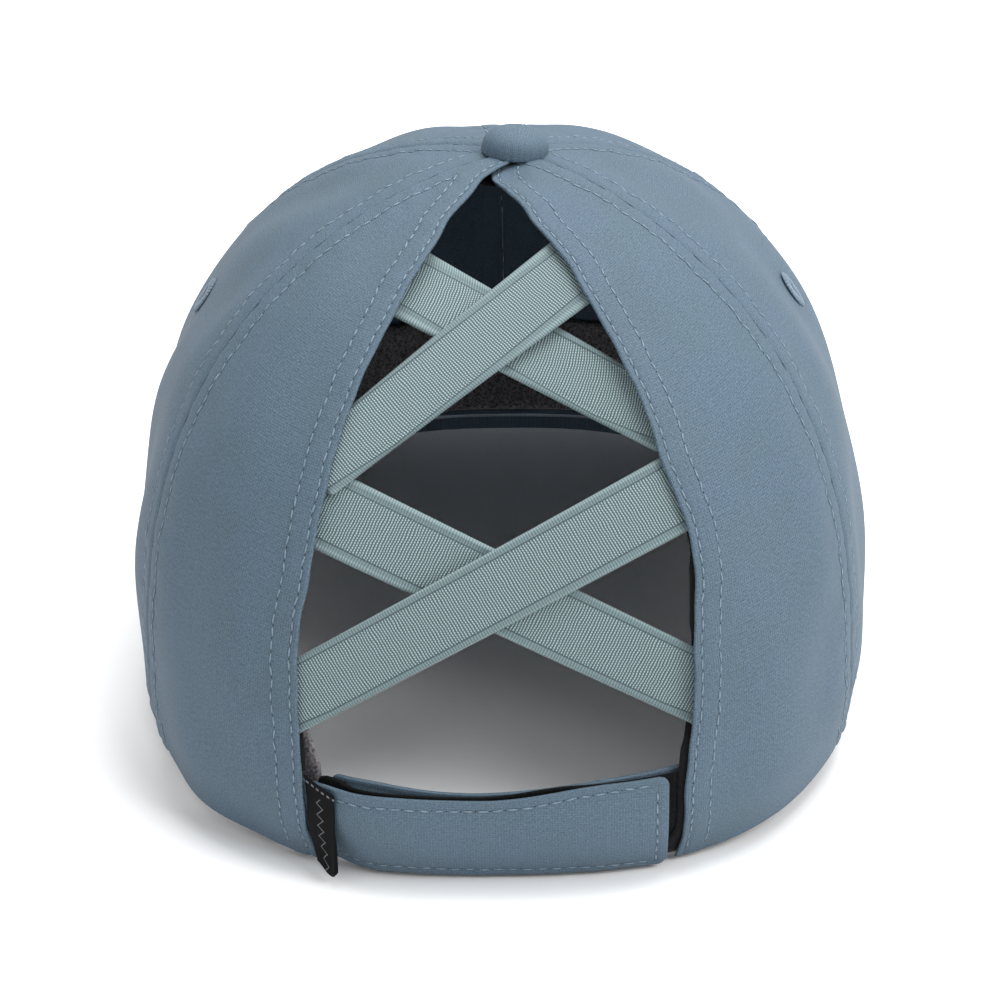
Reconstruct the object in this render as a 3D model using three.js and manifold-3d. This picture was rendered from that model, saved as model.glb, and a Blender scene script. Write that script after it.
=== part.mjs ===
// A six-panel ponytail cap with an open back, two crossed pairs of elastic bands over the opening and a
// hook-and-loop strap below it. Millimetres, +Z up: the peak points to -Y, the opening looks to +Y, and
// +X is the wearer's left. The origin is the centre of the base that the cap rests on.
import * as THREE from "three";
import { mergeVertices } from "three/addons/utils/BufferGeometryUtils.js";
import Module from "manifold-3d";

const wasm = await Module();
wasm.setup();

// Crown
const CROWN_HALF_WIDTH = 79.8;
const CROWN_BACK = 96.1; // from the crown's axis to the back
const CROWN_FRONT = 105.5; // from the crown's axis to the front
const CROWN_HEIGHT = 122.5;
const CROWN_SQUARENESS = 2.63; // 2 makes an ellipse in plan, and more makes it squarer
const SIDE_RIM_RISE = 5.0; // the rim curves up over the ears
const FRONT_RIM_RISE = 10.6; // the rim slopes up from back to front
const PEAK_RIM_RISE = 8.0; // the peak's arch lifts the middle of the front rim
const APEX_SHIFT = -4.2; // the seams meet a little to the wearer's right
const APEX_REACH = 6; // how sharply that shift fades below the button
const PANEL_WALL = 1.2;
const GAP = 0.3; // clearance between neighbouring pieces
const BACK_SEAM = THREE.MathUtils.degToRad(64); // angles from the back, about the crown's axis
const FRONT_SEAM = THREE.MathUtils.degToRad(116);
const PANEL_TOP = 0.985; // the rise where the panels stop under the button

// Opening
const OPENING_HALF_WIDTH = 38.5;
const OPENING_CLOSES = 0.88; // the rise where the hems begin to meet
const TAPE_WALL = 0.9;
const TAPE_CLEARANCE = 1.6; // behind the bands, which pull straight as they leave the hem
const TAPE_WIDTH = 9.5;
const TAPE_SHOWS = 0.3; // how far the tape shows past the hem
const TAPE_TOP = 0.89;

// Elastic bands
const BAND_WIDTH = 14.6;
const BAND_WALL = 1.0;
const BAND_TUCK = 8; // hidden length behind each hem
const BAND_LIFT = 0.9; // how far the bands bow apart where they cross

// Closure strap and sweatband
const STRAP_HEIGHT = 21.5;
const STRAP_WALL = 1.2;
const STRAP_TUCK = 8;
const STRAP_FOOT = 0.7; // height of the strap's lower edge over the lowest point of the rim
const OUTER_STRAP_END = -33.5;
const INNER_STRAP_END = 31.5;
const INNER_STRAP_RAISE = 2.0; // the inner strap shows this much above the outer strap
const OVERLAP_START = 34; // between these two the outer strap steps out over the inner one
const OVERLAP_FULL = 17;
const HOOK_WALL = 0.9;
const LOOP_WALL = 1.3;
const FASTENER_INSET = 2.5; // from the strap's edges to the hook and loop tapes
const LOOP_END = 15;
const SWEATBAND_WALL = 2.0;
const SWEATBAND_HEIGHT = 27.5;
const SWEATBAND_FOOT = 1.2;
const SWEATBAND_SHOWS = 2.0; // how far its ends show past the hem, at the bottom

// Button, eyelets and label
const BUTTON_RADIUS = 7.6;
const BUTTON_HEIGHT = 4.6;
const BUTTON_POST_RADIUS = 1.5;
const BUTTON_BACK_RADIUS = 4.6;
const BUTTON_BACK_WALL = 1.0;
const EYELET_ANGLE = THREE.MathUtils.degToRad(91.5);
const EYELET_RISE = 0.531;
const EYELET_RADIUS = 5.0;
const EYELET_HOLE_RADIUS = 1.6;
const EYELET_BARREL_RADIUS = 2.8;
const EYELET_WALL = 0.9;
const LABEL_WIDTH = 7.5;
const LABEL_WALL = 0.8;
const LABEL_TOP = 22.5;
const LABEL_FOOT = 3.0;
const LABEL_CURL = 6.5; // how far its lower end stands out

// Peak
const PEAK_HALF_WIDTH = 85;
const PEAK_LENGTH = 68; // from the front of the crown
const PEAK_WALL = 3.2;
const PEAK_SPREAD = THREE.MathUtils.degToRad(64); // how far round the rim each wing is sewn
const PEAK_WIDEST = 88; // how far in front of the crown's axis the peak is widest
const PEAK_WING = 62; // length of the curve that brings a wing back to the crown
const PEAK_TIP_HEIGHT = 18; // upper face at the middle of the front edge
const PEAK_WING_TIP = 1.2; // width left at a wing's end
const PEAK_SQUARENESS = 2.2;

// The crown at evenly spaced steps from the rim to the button. level is the height as a share of the
// crown's height; side, back and front are reaches as shares of the crown's three sizes in plan; opening
// is the opening's half width as a share of the widest.
const PROFILE = [
  { level: 0.0, side: 0.987, back: 0.939, front: 0.939, opening: 0.915 },
  { level: 0.11, side: 1.0, back: 0.998, front: 0.998, opening: 0.98 },
  { level: 0.226, side: 0.997, back: 0.992, front: 0.996, opening: 1.0 },
  { level: 0.34, side: 0.985, back: 0.965, front: 0.976, opening: 0.995 },
  { level: 0.452, side: 0.957, back: 0.917, front: 0.937, opening: 0.99 },
  { level: 0.559, side: 0.909, back: 0.852, front: 0.878, opening: 0.943 },
  { level: 0.66, side: 0.838, back: 0.768, front: 0.8, opening: 0.844 },
  { level: 0.752, side: 0.743, back: 0.669, front: 0.702, opening: 0.727 },
  { level: 0.832, side: 0.625, back: 0.556, front: 0.587, opening: 0.565 },
  { level: 0.899, side: 0.487, back: 0.431, front: 0.458, opening: 0.4 },
  { level: 0.951, side: 0.333, back: 0.296, front: 0.316, opening: 0.22 },
  { level: 0.986, side: 0.167, back: 0.153, front: 0.164, opening: 0.052 },
  { level: 1.0, side: 0.0, back: 0.0, front: 0.0, opening: 0.0 },
];

// Each band's middle where it meets the two hems, as shares of the crown's height.
const BANDS = [
  { name: "upper_band_over", over: true, left: 0.69, right: 0.899 },
  { name: "upper_band_under", over: false, left: 0.886, right: 0.732 },
  { name: "lower_band_over", over: true, left: 0.315, right: 0.617 },
  { name: "lower_band_under", over: false, left: 0.608, right: 0.343 },
];

const COLOURS = {
  cloth: { color: 0x6c7d8b, roughness: 0.75, metalness: 0 },
  elastic: { color: 0x8a9d9f, roughness: 0.85, metalness: 0 },
  black_tape: { color: 0x1d1e20, roughness: 0.9, metalness: 0 },
  heather: { color: 0x45474b, roughness: 0.95, metalness: 0 },
  label: { color: 0x292a2c, roughness: 0.7, metalness: 0 },
};

// Reads a column of a table whose rows are evenly spaced over 0 to 1, on a smooth curve through the rows.
function readTable(table, share, column) {
  const last = table.length - 1;
  const place = THREE.MathUtils.clamp(share, 0, 1) * last;
  const row = Math.min(Math.floor(place), last - 1);
  const start = table[row][column];
  const end = table[row + 1][column];
  const before = row > 0 ? table[row - 1][column] : 2 * start - end;
  const after = row + 2 <= last ? table[row + 2][column] : 2 * end - start;
  const s = place - row;
  const slopeStart = (end - before) / 2;
  const slopeEnd = (after - start) / 2;
  const cubic = 2 * (start - end) + slopeStart + slopeEnd;
  const square = 3 * (end - start) - 2 * slopeStart - slopeEnd;
  return start + s * (slopeStart + s * (square + s * cubic));
}

const lerp = THREE.MathUtils.lerp;
const smooth = THREE.MathUtils.smoothstep;
const powered = (value, power) => Math.sign(value) * Math.abs(value) ** power;

function bisect(low, high, isBelow) {
  for (let i = 0; i < 40; i += 1) {
    const middle = (low + high) / 2;
    if (isBelow(middle)) low = middle;
    else high = middle;
  }
  return (low + high) / 2;
}

function rimHeight(angle) {
  const forward = (1 - Math.cos(angle)) / 2;
  const arch = Math.max(0, -Math.cos(angle)) ** 3;
  return SIDE_RIM_RISE * Math.sin(angle) ** 2 + FRONT_RIM_RISE * forward + PEAK_RIM_RISE * arch;
}

const apexShift = (rise) => APEX_SHIFT * rise ** APEX_REACH;

// The crown's outer face. angle runs from the back towards the wearer's left, rise from 0 at the rim to
// 1 at the button.
function outerPoint(angle, rise) {
  const sine = powered(Math.sin(angle), 2 / CROWN_SQUARENESS);
  const cosine = powered(Math.cos(angle), 2 / CROWN_SQUARENESS);
  const length = cosine >= 0
    ? CROWN_BACK * readTable(PROFILE, rise, "back")
    : CROWN_FRONT * readTable(PROFILE, rise, "front");
  const rim = rimHeight(angle);
  return new THREE.Vector3(
    CROWN_HALF_WIDTH * readTable(PROFILE, rise, "side") * sine + apexShift(rise),
    length * cosine,
    rim + (CROWN_HEIGHT - rim) * readTable(PROFILE, rise, "level"),
  );
}

function outerNormal(angle, rise) {
  const step = 0.002;
  const across = outerPoint(angle + step, rise).sub(outerPoint(angle - step, rise));
  const up = outerPoint(angle, rise + step).sub(outerPoint(angle, rise - step));
  return up.cross(across).normalize();
}

// The same point moved into the crown along the normal. A negative depth moves it out.
function crownPoint(angle, rise, depth) {
  return outerPoint(angle, rise).addScaledVector(outerNormal(angle, rise), -depth);
}

// Turns a sideways place on the back of the crown into an angle.
function angleAt(x, rise) {
  const side = CROWN_HALF_WIDTH * readTable(PROFILE, rise, "side");
  const share = THREE.MathUtils.clamp((x - apexShift(rise)) / side, -1, 1);
  return Math.asin(powered(share, CROWN_SQUARENESS / 2));
}

const backPoint = (x, rise, depth) => crownPoint(angleAt(x, rise), rise, depth);

const riseAt = (height) =>
  bisect(0, 1, (rise) => CROWN_HEIGHT * readTable(PROFILE, rise, "level") < height);

// The point of the back at a sideways place and height, on the face that lies at a depth.
function backAt(x, z, depth) {
  let aimX = x;
  let aimZ = z;
  let point;
  for (let i = 0; i < 8; i += 1) {
    const rise = bisect(0, 1, (r) => outerPoint(angleAt(aimX, r), r).z < aimZ);
    point = backPoint(aimX, rise, depth);
    aimX += x - point.x;
    aimZ += z - point.z;
  }
  return point;
}

const openingEdge = (rise) =>
  Math.max(OPENING_HALF_WIDTH * readTable(PROFILE, rise, "opening"), GAP / 2);

// Sideways place of a hem. Above the opening the two hems meet, and their line bends to the button.
const hemAt = (side, rise) =>
  apexShift(rise) * smooth(rise, OPENING_CLOSES, PANEL_TOP) + side * openingEdge(rise);

function seamAngle(angle, rise, side) {
  const step = 0.01;
  const speed = outerPoint(angle + step, rise).distanceTo(outerPoint(angle - step, rise)) / (2 * step);
  return angle + (side * GAP) / 2 / speed;
}

// Turns the faces outwards if they point in.
function facedOut(geometry) {
  const position = geometry.getAttribute("position");
  const index = geometry.getIndex();
  const corner = (i) => new THREE.Vector3().fromBufferAttribute(position, index.getX(i));
  let volume = 0;
  for (let i = 0; i < index.count; i += 3) volume += corner(i).dot(corner(i + 1).cross(corner(i + 2)));
  if (volume < 0) {
    for (let i = 0; i < index.count; i += 3) {
      const second = index.getX(i + 1);
      index.setX(i + 1, index.getX(i + 2));
      index.setX(i + 2, second);
    }
  }
  geometry.computeVertexNormals();
  return geometry;
}

// A closed slab of cloth. place(across, along, side) gives its points for shares 0 to 1, with side 0 on
// the outer face and 1 on the inner face.
function slab(columns, rows, place) {
  const points = [];
  const width = columns + 1;
  const layer = width * (rows + 1);
  for (const side of [0, 1])
    for (let r = 0; r <= rows; r += 1)
      for (let c = 0; c <= columns; c += 1) points.push(place(c / columns, r / rows, side));
  const at = (c, r, side) => side * layer + r * width + c;
  const index = [];
  const quad = (a, b, c, d) => index.push(a, b, c, a, c, d);
  for (let r = 0; r < rows; r += 1) {
    for (let c = 0; c < columns; c += 1) {
      quad(at(c, r, 0), at(c + 1, r, 0), at(c + 1, r + 1, 0), at(c, r + 1, 0));
      quad(at(c, r, 1), at(c, r + 1, 1), at(c + 1, r + 1, 1), at(c + 1, r, 1));
    }
    quad(at(0, r, 0), at(0, r + 1, 0), at(0, r + 1, 1), at(0, r, 1));
    quad(at(columns, r, 0), at(columns, r, 1), at(columns, r + 1, 1), at(columns, r + 1, 0));
  }
  for (let c = 0; c < columns; c += 1) {
    quad(at(c, 0, 0), at(c, 0, 1), at(c + 1, 0, 1), at(c + 1, 0, 0));
    quad(at(c, rows, 0), at(c + 1, rows, 0), at(c + 1, rows, 1), at(c, rows, 1));
  }
  const geometry = new THREE.BufferGeometry().setFromPoints(points);
  geometry.setIndex(index);
  return facedOut(geometry);
}

function toSolid(geometry) {
  const bare = geometry.clone().deleteAttribute("normal").deleteAttribute("uv");
  const merged = mergeVertices(bare, 1e-4);
  return new wasm.Manifold(new wasm.Mesh({
    numProp: 3,
    vertProperties: new Float32Array(merged.getAttribute("position").array),
    triVerts: new Uint32Array(merged.getIndex().array),
  }));
}

function fromSolid(solid) {
  const mesh = solid.getMesh();
  const geometry = new THREE.BufferGeometry();
  geometry.setAttribute("position", new THREE.BufferAttribute(mesh.vertProperties, 3));
  geometry.setIndex(new THREE.BufferAttribute(mesh.triVerts, 1));
  geometry.computeVertexNormals();
  return geometry;
}

function mesh(name, geometry, look) {
  const made = new THREE.Mesh(geometry, new THREE.MeshStandardMaterial(COLOURS[look]));
  made.name = name;
  return made;
}

// A gore of the crown between two edges, each an angle that depends on the rise. Its rows are closer
// together near the rim, where the cloth bends most.
function gore(startAngle, endAngle) {
  return slab(12, 18, (across, along, side) => {
    const rise = along ** 1.3 * PANEL_TOP;
    const angle = lerp(startAngle(rise), endAngle(rise), across);
    return crownPoint(angle, rise, side * PANEL_WALL);
  });
}

function frontPanel(side) {
  return gore(
    (rise) => side * seamAngle(FRONT_SEAM, rise, 1),
    (rise) => side * seamAngle(Math.PI, rise, -1),
  );
}

// A side panel, with the hole that its eyelet sits in.
function sidePanel(side) {
  const cloth = gore(
    (rise) => side * seamAngle(BACK_SEAM, rise, 1),
    (rise) => side * seamAngle(FRONT_SEAM, rise, -1),
  );
  const drill = new THREE.CylinderGeometry(
    EYELET_BARREL_RADIUS + GAP, EYELET_BARREL_RADIUS + GAP, 6 * PANEL_WALL, 16,
  );
  drill.applyMatrix4(eyeletPlace(side));
  return fromSolid(toSolid(cloth).subtract(toSolid(drill)));
}

function backPanel(side) {
  return gore(
    (rise) => angleAt(hemAt(side, rise), rise),
    (rise) => side * seamAngle(BACK_SEAM, rise, -1),
  );
}

// The frame of an eyelet: its axis is the panel's normal.
function eyeletPlace(side) {
  const angle = side * EYELET_ANGLE;
  const turn = new THREE.Quaternion().setFromUnitVectors(
    new THREE.Vector3(0, 1, 0), outerNormal(angle, EYELET_RISE),
  );
  return new THREE.Matrix4().compose(
    outerPoint(angle, EYELET_RISE), turn, new THREE.Vector3(1, 1, 1),
  );
}

// A stitched ring: a flat rim on the cloth and a barrel through it.
function eyelet(side) {
  const inner = EYELET_HOLE_RADIUS;
  const profile = [
    new THREE.Vector2(inner, -PANEL_WALL),
    new THREE.Vector2(EYELET_BARREL_RADIUS, -PANEL_WALL),
    new THREE.Vector2(EYELET_BARREL_RADIUS, GAP),
    new THREE.Vector2(EYELET_RADIUS, GAP),
    new THREE.Vector2(EYELET_RADIUS - EYELET_WALL / 3, GAP + EYELET_WALL),
    new THREE.Vector2(inner + EYELET_WALL / 2, GAP + EYELET_WALL),
    new THREE.Vector2(inner, GAP),
    new THREE.Vector2(inner, -PANEL_WALL),
  ];
  const ring = new THREE.LatheGeometry(profile, 20);
  ring.applyMatrix4(eyeletPlace(side));
  return facedOut(mergeVertices(ring.deleteAttribute("normal").deleteAttribute("uv"), 1e-4));
}

// The covered button, with its post through the panels and the plain back that holds them.
function button() {
  const backTop = -PANEL_WALL - 4 * GAP;
  const profile = [
    new THREE.Vector2(0, backTop - BUTTON_BACK_WALL),
    new THREE.Vector2(BUTTON_BACK_RADIUS, backTop - BUTTON_BACK_WALL),
    new THREE.Vector2(BUTTON_BACK_RADIUS, backTop),
    new THREE.Vector2(BUTTON_POST_RADIUS, backTop),
    new THREE.Vector2(BUTTON_POST_RADIUS, GAP),
    new THREE.Vector2(BUTTON_RADIUS * 0.92, 0),
  ];
  const steps = 6;
  for (let i = 0; i < steps; i += 1) {
    const turn = (i / steps) * (Math.PI / 2);
    profile.push(new THREE.Vector2(
      BUTTON_RADIUS * Math.cos(turn),
      BUTTON_HEIGHT * (0.16 + 0.84 * Math.sin(turn)),
    ));
  }
  profile.push(new THREE.Vector2(0, BUTTON_HEIGHT));
  const solid = new THREE.LatheGeometry(profile, 24);
  solid.rotateX(Math.PI / 2);
  solid.translate(APEX_SHIFT, 0, CROWN_HEIGHT);
  return facedOut(mergeVertices(solid.deleteAttribute("normal").deleteAttribute("uv"), 1e-4));
}

// Depths of the layers behind a hem, from the outside in.
const behindHem = PANEL_WALL + GAP;
const overBandDepth = behindHem;
const underBandDepth = overBandDepth + BAND_WALL + GAP;
const tapeDepth = underBandDepth + BAND_WALL + TAPE_CLEARANCE;
const loopDepth = behindHem;
const innerStrapDepth = loopDepth + LOOP_WALL + GAP;
const hookDepth = loopDepth - GAP - HOOK_WALL;
const overlapDepth = hookDepth - GAP - STRAP_WALL;
const leftSweatbandDepth = behindHem + STRAP_WALL + GAP;
const rightSweatbandDepth = innerStrapDepth + STRAP_WALL + GAP;

function edgeTape(side) {
  const foot = riseAt(SWEATBAND_FOOT + SWEATBAND_HEIGHT + 2);
  return slab(3, 18, (across, along, face) => {
    const rise = lerp(foot, TAPE_TOP, along);
    const inner = Math.max(openingEdge(rise) - TAPE_SHOWS, GAP);
    const x = side * (inner + across * TAPE_WIDTH);
    return backPoint(x, rise, tapeDepth + face * TAPE_WALL);
  });
}

// An elastic strip drawn straight from hem to hem. Behind the hems it follows the inside of the panels,
// and the two strips of a pair bow apart where they cross.
function band({ over, left, right }) {
  const depth = over ? overBandDepth : underBandDepth;
  const lift = over ? BAND_LIFT : -BAND_LIFT;
  const hem = (side, share) => {
    const rise = riseAt(share * CROWN_HEIGHT);
    return backAt(hemAt(side, rise), share * CROWN_HEIGHT, depth);
  };
  const start = hem(1, left);
  const end = hem(-1, right);
  const length = start.distanceTo(end);
  const along = end.clone().sub(start).normalize();
  const out = outerNormal(0, riseAt((start.z + end.z) / 2));
  out.addScaledVector(along, -out.dot(along)).normalize();
  const across = new THREE.Vector3().crossVectors(out, along);
  const onLine = (u, run) => start.clone()
    .addScaledVector(along, run)
    .addScaledVector(across, (u - 0.5) * BAND_WIDTH);
  const pastHem = (point, side) => side * (point.x - hemAt(side, riseAt(point.z)));
  return slab(3, 20, (u, v, face) => {
    const leftRun = bisect(-length / 2, length / 2, (run) => pastHem(onLine(u, run), 1) > 0);
    const rightRun = bisect(length / 2, 1.5 * length, (run) => pastHem(onLine(u, run), -1) < 0);
    const run = lerp(-BAND_TUCK, length + BAND_TUCK, v);
    const share = (run - leftRun) / (rightRun - leftRun);
    const layer = depth + face * BAND_WALL;
    const onSurface = (at) => backAt(onLine(u, at).x, onLine(u, at).z, layer);
    if (share <= 0 || share >= 1) return onSurface(run);
    return onSurface(leftRun)
      .lerp(onSurface(rightRun), share)
      .addScaledVector(out, lift * 4 * share * (1 - share));
  });
}

// A strip along the foot of the opening, from one sideways place to another.
function footStrip(from, to, low, high, depthAt, wall) {
  const lowRise = riseAt(low);
  const highRise = riseAt(high);
  const columns = Math.max(4, Math.round(Math.abs(to - from) / 5));
  return slab(columns, 3, (across, along, face) => {
    const rise = lerp(lowRise, highRise, along);
    const x = lerp(from, to, across);
    return backPoint(x, rise, depthAt(x) + face * wall);
  });
}

// The outer strap leaves the left hem at the inner depth and steps out over the inner strap.
const outerStrapDepth = (x) => lerp(overlapDepth, behindHem, smooth(x, OVERLAP_FULL, OVERLAP_START));
const hemAtFoot = openingEdge(riseAt(STRAP_HEIGHT));

const outerStrap = () =>
  footStrip(hemAtFoot + STRAP_TUCK, OUTER_STRAP_END, STRAP_FOOT, STRAP_FOOT + STRAP_HEIGHT,
    outerStrapDepth, STRAP_WALL);

const innerStrap = () =>
  footStrip(-hemAtFoot - STRAP_TUCK, INNER_STRAP_END, STRAP_FOOT + FASTENER_INSET / 2,
    STRAP_FOOT + STRAP_HEIGHT + INNER_STRAP_RAISE, () => innerStrapDepth, STRAP_WALL);

const hookTape = () =>
  footStrip(OVERLAP_FULL - FASTENER_INSET, OUTER_STRAP_END + FASTENER_INSET,
    STRAP_FOOT + FASTENER_INSET, STRAP_FOOT + STRAP_HEIGHT - FASTENER_INSET,
    () => hookDepth, HOOK_WALL);

const loopTape = () =>
  footStrip(-hemAtFoot - STRAP_TUCK / 2, LOOP_END, STRAP_FOOT + FASTENER_INSET / 2,
    STRAP_FOOT + STRAP_HEIGHT + INNER_STRAP_RAISE / 2, () => loopDepth, LOOP_WALL);

// The sweatband runs round the inside of the rim from hem to hem, behind the straps at its two ends.
function sweatband() {
  const low = riseAt(SWEATBAND_FOOT);
  const high = riseAt(SWEATBAND_FOOT + SWEATBAND_HEIGHT);
  const nearBack = THREE.MathUtils.degToRad(28);
  const clearOfBack = THREE.MathUtils.degToRad(50);
  const endAngle = (side, along, rise) =>
    angleAt(side * (openingEdge(rise) - SWEATBAND_SHOWS * (1 - along / 2)), rise);
  return slab(56, 3, (across, along, face) => {
    const rise = lerp(low, high, along);
    const start = endAngle(1, along, rise);
    const end = 2 * Math.PI + endAngle(-1, along, rise);
    const angle = lerp(start, end, across);
    const fromBack = Math.min(angle, 2 * Math.PI - angle);
    const backDepth = angle < Math.PI ? leftSweatbandDepth : rightSweatbandDepth;
    const depth = lerp(backDepth, behindHem, smooth(fromBack, nearBack, clearOfBack));
    return crownPoint(angle, rise, depth + face * SWEATBAND_WALL);
  });
}

// The label hangs from the left hem over the outer strap, and its lower end curls out.
function label() {
  const low = riseAt(LABEL_FOOT);
  const high = riseAt(LABEL_TOP);
  return slab(2, 8, (across, along, face) => {
    const rise = lerp(high, low, along);
    const x = openingEdge(rise) - GAP - across * LABEL_WIDTH;
    const under = outerStrapDepth(x) - GAP;
    const point = backPoint(x, rise, under - LABEL_WALL + face * LABEL_WALL);
    point.y += LABEL_CURL * along ** 3;
    return point;
  });
}

// The curved peak: each section runs straight from the seam under the front rim to the outer edge. The
// outer edge arches from the middle down to the two sides, which touch what the cap rests on.
function peak() {
  const wrap = Math.PI / 2 + THREE.MathUtils.degToRad(29);
  const frontLength = CROWN_FRONT * PROFILE[0].front + PEAK_LENGTH - PEAK_WIDEST;
  const seam = (share) => {
    const point = crownPoint(Math.PI + share * PEAK_SPREAD, 0, PANEL_WALL);
    point.z = rimHeight(Math.PI + share * PEAK_SPREAD) - GAP;
    return point;
  };
  const edge = (share) => {
    const turn = share * wrap;
    const sine = powered(Math.sin(turn), 2 / PEAK_SQUARENESS);
    const cosine = powered(Math.cos(turn), 2 / PEAK_SQUARENESS);
    const length = cosine > 0 ? frontLength : PEAK_WING;
    const inner = seam(share);
    const outward = outerNormal(Math.PI + share * PEAK_SPREAD, 0).setZ(0).normalize();
    const wing = inner.clone().addScaledVector(outward, PANEL_WALL + PEAK_WING_TIP);
    const free = new THREE.Vector3(-PEAK_HALF_WIDTH * sine, -PEAK_WIDEST - length * cosine, 0);
    free.z = PEAK_TIP_HEIGHT - (PEAK_TIP_HEIGHT - PEAK_WALL) * sine * sine;
    return free.lerp(wing, smooth(Math.abs(share), 0.72, 1));
  };
  return slab(28, 5, (across, along, side) => {
    const share = 2 * across - 1;
    const point = seam(share).lerp(edge(share), along);
    point.z -= side * PEAK_WALL;
    return point;
  });
}

const cap = new THREE.Group();
for (const [word, side] of [["left", 1], ["right", -1]]) {
  cap.add(mesh(`front_panel_${word}`, frontPanel(side), "cloth"));
  cap.add(mesh(`side_panel_${word}`, sidePanel(side), "cloth"));
  cap.add(mesh(`back_panel_${word}`, backPanel(side), "cloth"));
  cap.add(mesh(`eyelet_${word}`, eyelet(side), "cloth"));
  cap.add(mesh(`edge_tape_${word}`, edgeTape(side), "black_tape"));
}
cap.add(mesh("top_button", button(), "cloth"));
cap.add(mesh("sweatband", sweatband(), "heather"));
cap.add(mesh("peak", peak(), "cloth"));
for (const row of BANDS) cap.add(mesh(row.name, band(row), "elastic"));
cap.add(mesh("outer_strap", outerStrap(), "cloth"));
cap.add(mesh("inner_strap", innerStrap(), "cloth"));
cap.add(mesh("hook_tape", hookTape(), "black_tape"));
cap.add(mesh("loop_tape", loopTape(), "black_tape"));
cap.add(mesh("side_label", label(), "label"));

// The crown was drawn about its own axis. The part's origin is the middle of its base.
const box = new THREE.Box3().setFromObject(cap, true);
const middle = box.getCenter(new THREE.Vector3());
cap.position.set(-middle.x, -middle.y, -box.min.z);

export default cap;
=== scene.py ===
"""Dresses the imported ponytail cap: ripstop panels, stitching, elastic bands, closure strap and peak."""

from __future__ import annotations

import logging
import math
from dataclasses import dataclass, field
from enum import Enum
from typing import Callable, Iterable, Sequence

import bmesh
import bpy
import numpy as np
from mathutils import Matrix, Vector


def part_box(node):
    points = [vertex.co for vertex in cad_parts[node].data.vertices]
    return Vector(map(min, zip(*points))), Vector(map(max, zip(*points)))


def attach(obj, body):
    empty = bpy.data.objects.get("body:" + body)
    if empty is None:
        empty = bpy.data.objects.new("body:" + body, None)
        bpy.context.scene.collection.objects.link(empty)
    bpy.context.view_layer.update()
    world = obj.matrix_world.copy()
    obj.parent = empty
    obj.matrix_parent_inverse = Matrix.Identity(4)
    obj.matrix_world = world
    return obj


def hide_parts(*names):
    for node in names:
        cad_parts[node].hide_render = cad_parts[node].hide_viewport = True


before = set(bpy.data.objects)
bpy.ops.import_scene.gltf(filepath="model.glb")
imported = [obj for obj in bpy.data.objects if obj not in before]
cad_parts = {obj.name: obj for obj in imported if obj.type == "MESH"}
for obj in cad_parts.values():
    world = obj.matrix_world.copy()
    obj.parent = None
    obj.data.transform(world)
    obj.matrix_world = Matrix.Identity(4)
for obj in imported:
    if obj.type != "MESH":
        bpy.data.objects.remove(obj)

log = logging.getLogger("cap")

MM = 0.001
GAP = 0.3
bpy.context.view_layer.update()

SIDES = (("left", 1), ("right", -1))

Array = np.ndarray
Place = Callable[[Array, Array], Array]
Line = Callable[[Array], Array]
Material = bpy.types.Material
Socket = bpy.types.NodeSocket


def smooth(value: Array | float, low: float, high: float) -> Array:
    """Eases from 0 at low to 1 at high, where high may lie below low."""
    share = np.clip((np.asarray(value, float) - low) / (high - low), 0.0, 1.0)
    return share * share * (3.0 - 2.0 * share)


def powered(value: Array, power: float) -> Array:
    """Raises the size of a number to a power and keeps its sign."""
    return np.sign(value) * np.abs(value) ** power


def bump(value: Array, middle: float, width: float) -> Array:
    """A round bump of height 1 about a middle."""
    return np.exp(-(((value - middle) / width) ** 2))


def unit(vectors: Array) -> Array:
    """Vectors of length 1 with the same directions."""
    return vectors / np.maximum(np.linalg.norm(vectors, axis=-1, keepdims=True), 1e-9)


def spans(points: Array, axis: int = 0) -> Array:
    """Distances between neighbouring points along an axis."""
    return np.linalg.norm(np.diff(points, axis=axis), axis=-1)


def run_of(points: Array) -> Array:
    """Distance of each point of a row from its start."""
    return np.concatenate([[0.0], np.cumsum(spans(points))])


def read_row(at: Array | float, run: Array, vectors: Array) -> Array:
    """Reads a row of vectors at places along its run."""
    return np.stack([np.interp(at, run, vectors[:, k]) for k in range(3)], axis=-1)


@dataclass(frozen=True)
class Swell:
    """One swell of a line: it eases in from a place until another, or is a bump of a width about a place."""

    reach: float
    place: float
    until: float | None = None
    width: float = 1.0

    def at(self, x: Array) -> Array:
        """Its height at each place."""
        if self.until is None:
            return self.reach * bump(x, self.place, self.width)
        return self.reach * smooth(x, self.place, self.until)


@dataclass(frozen=True)
class Uneven:
    """A line at one level, apart from its swells."""

    level: float
    swells: tuple[Swell, ...] = ()

    def __call__(self, x: Array) -> Array:
        """The line's value at each place."""
        return self.level + sum((swell.at(x) for swell in self.swells), 0 * x)


@dataclass(frozen=True)
class Ripple:
    """One sine along a run of cloth, in millimetres.

    A piece's seed and an edge's turn shift it, each times its own share, so that no two runs are alike.
    """

    height: float
    pace: float
    of_seed: float = 0.0
    of_turn: float = 0.0


def rippled(run: Array, seed: float, ripples: Iterable[Ripple], turn: int = 0) -> Array:
    """Adds up ripples along a run in millimetres, for a piece's seed and an edge's turn."""
    return sum(r.height * np.sin(run / r.pace + r.of_seed * seed + r.of_turn * turn) for r in ripples)


@dataclass(frozen=True)
class ProfileRow:
    """One level of the crown: its height and reaches as shares of the crown's sizes."""

    level: float
    side: float
    back: float
    front: float
    opening: float


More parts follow.
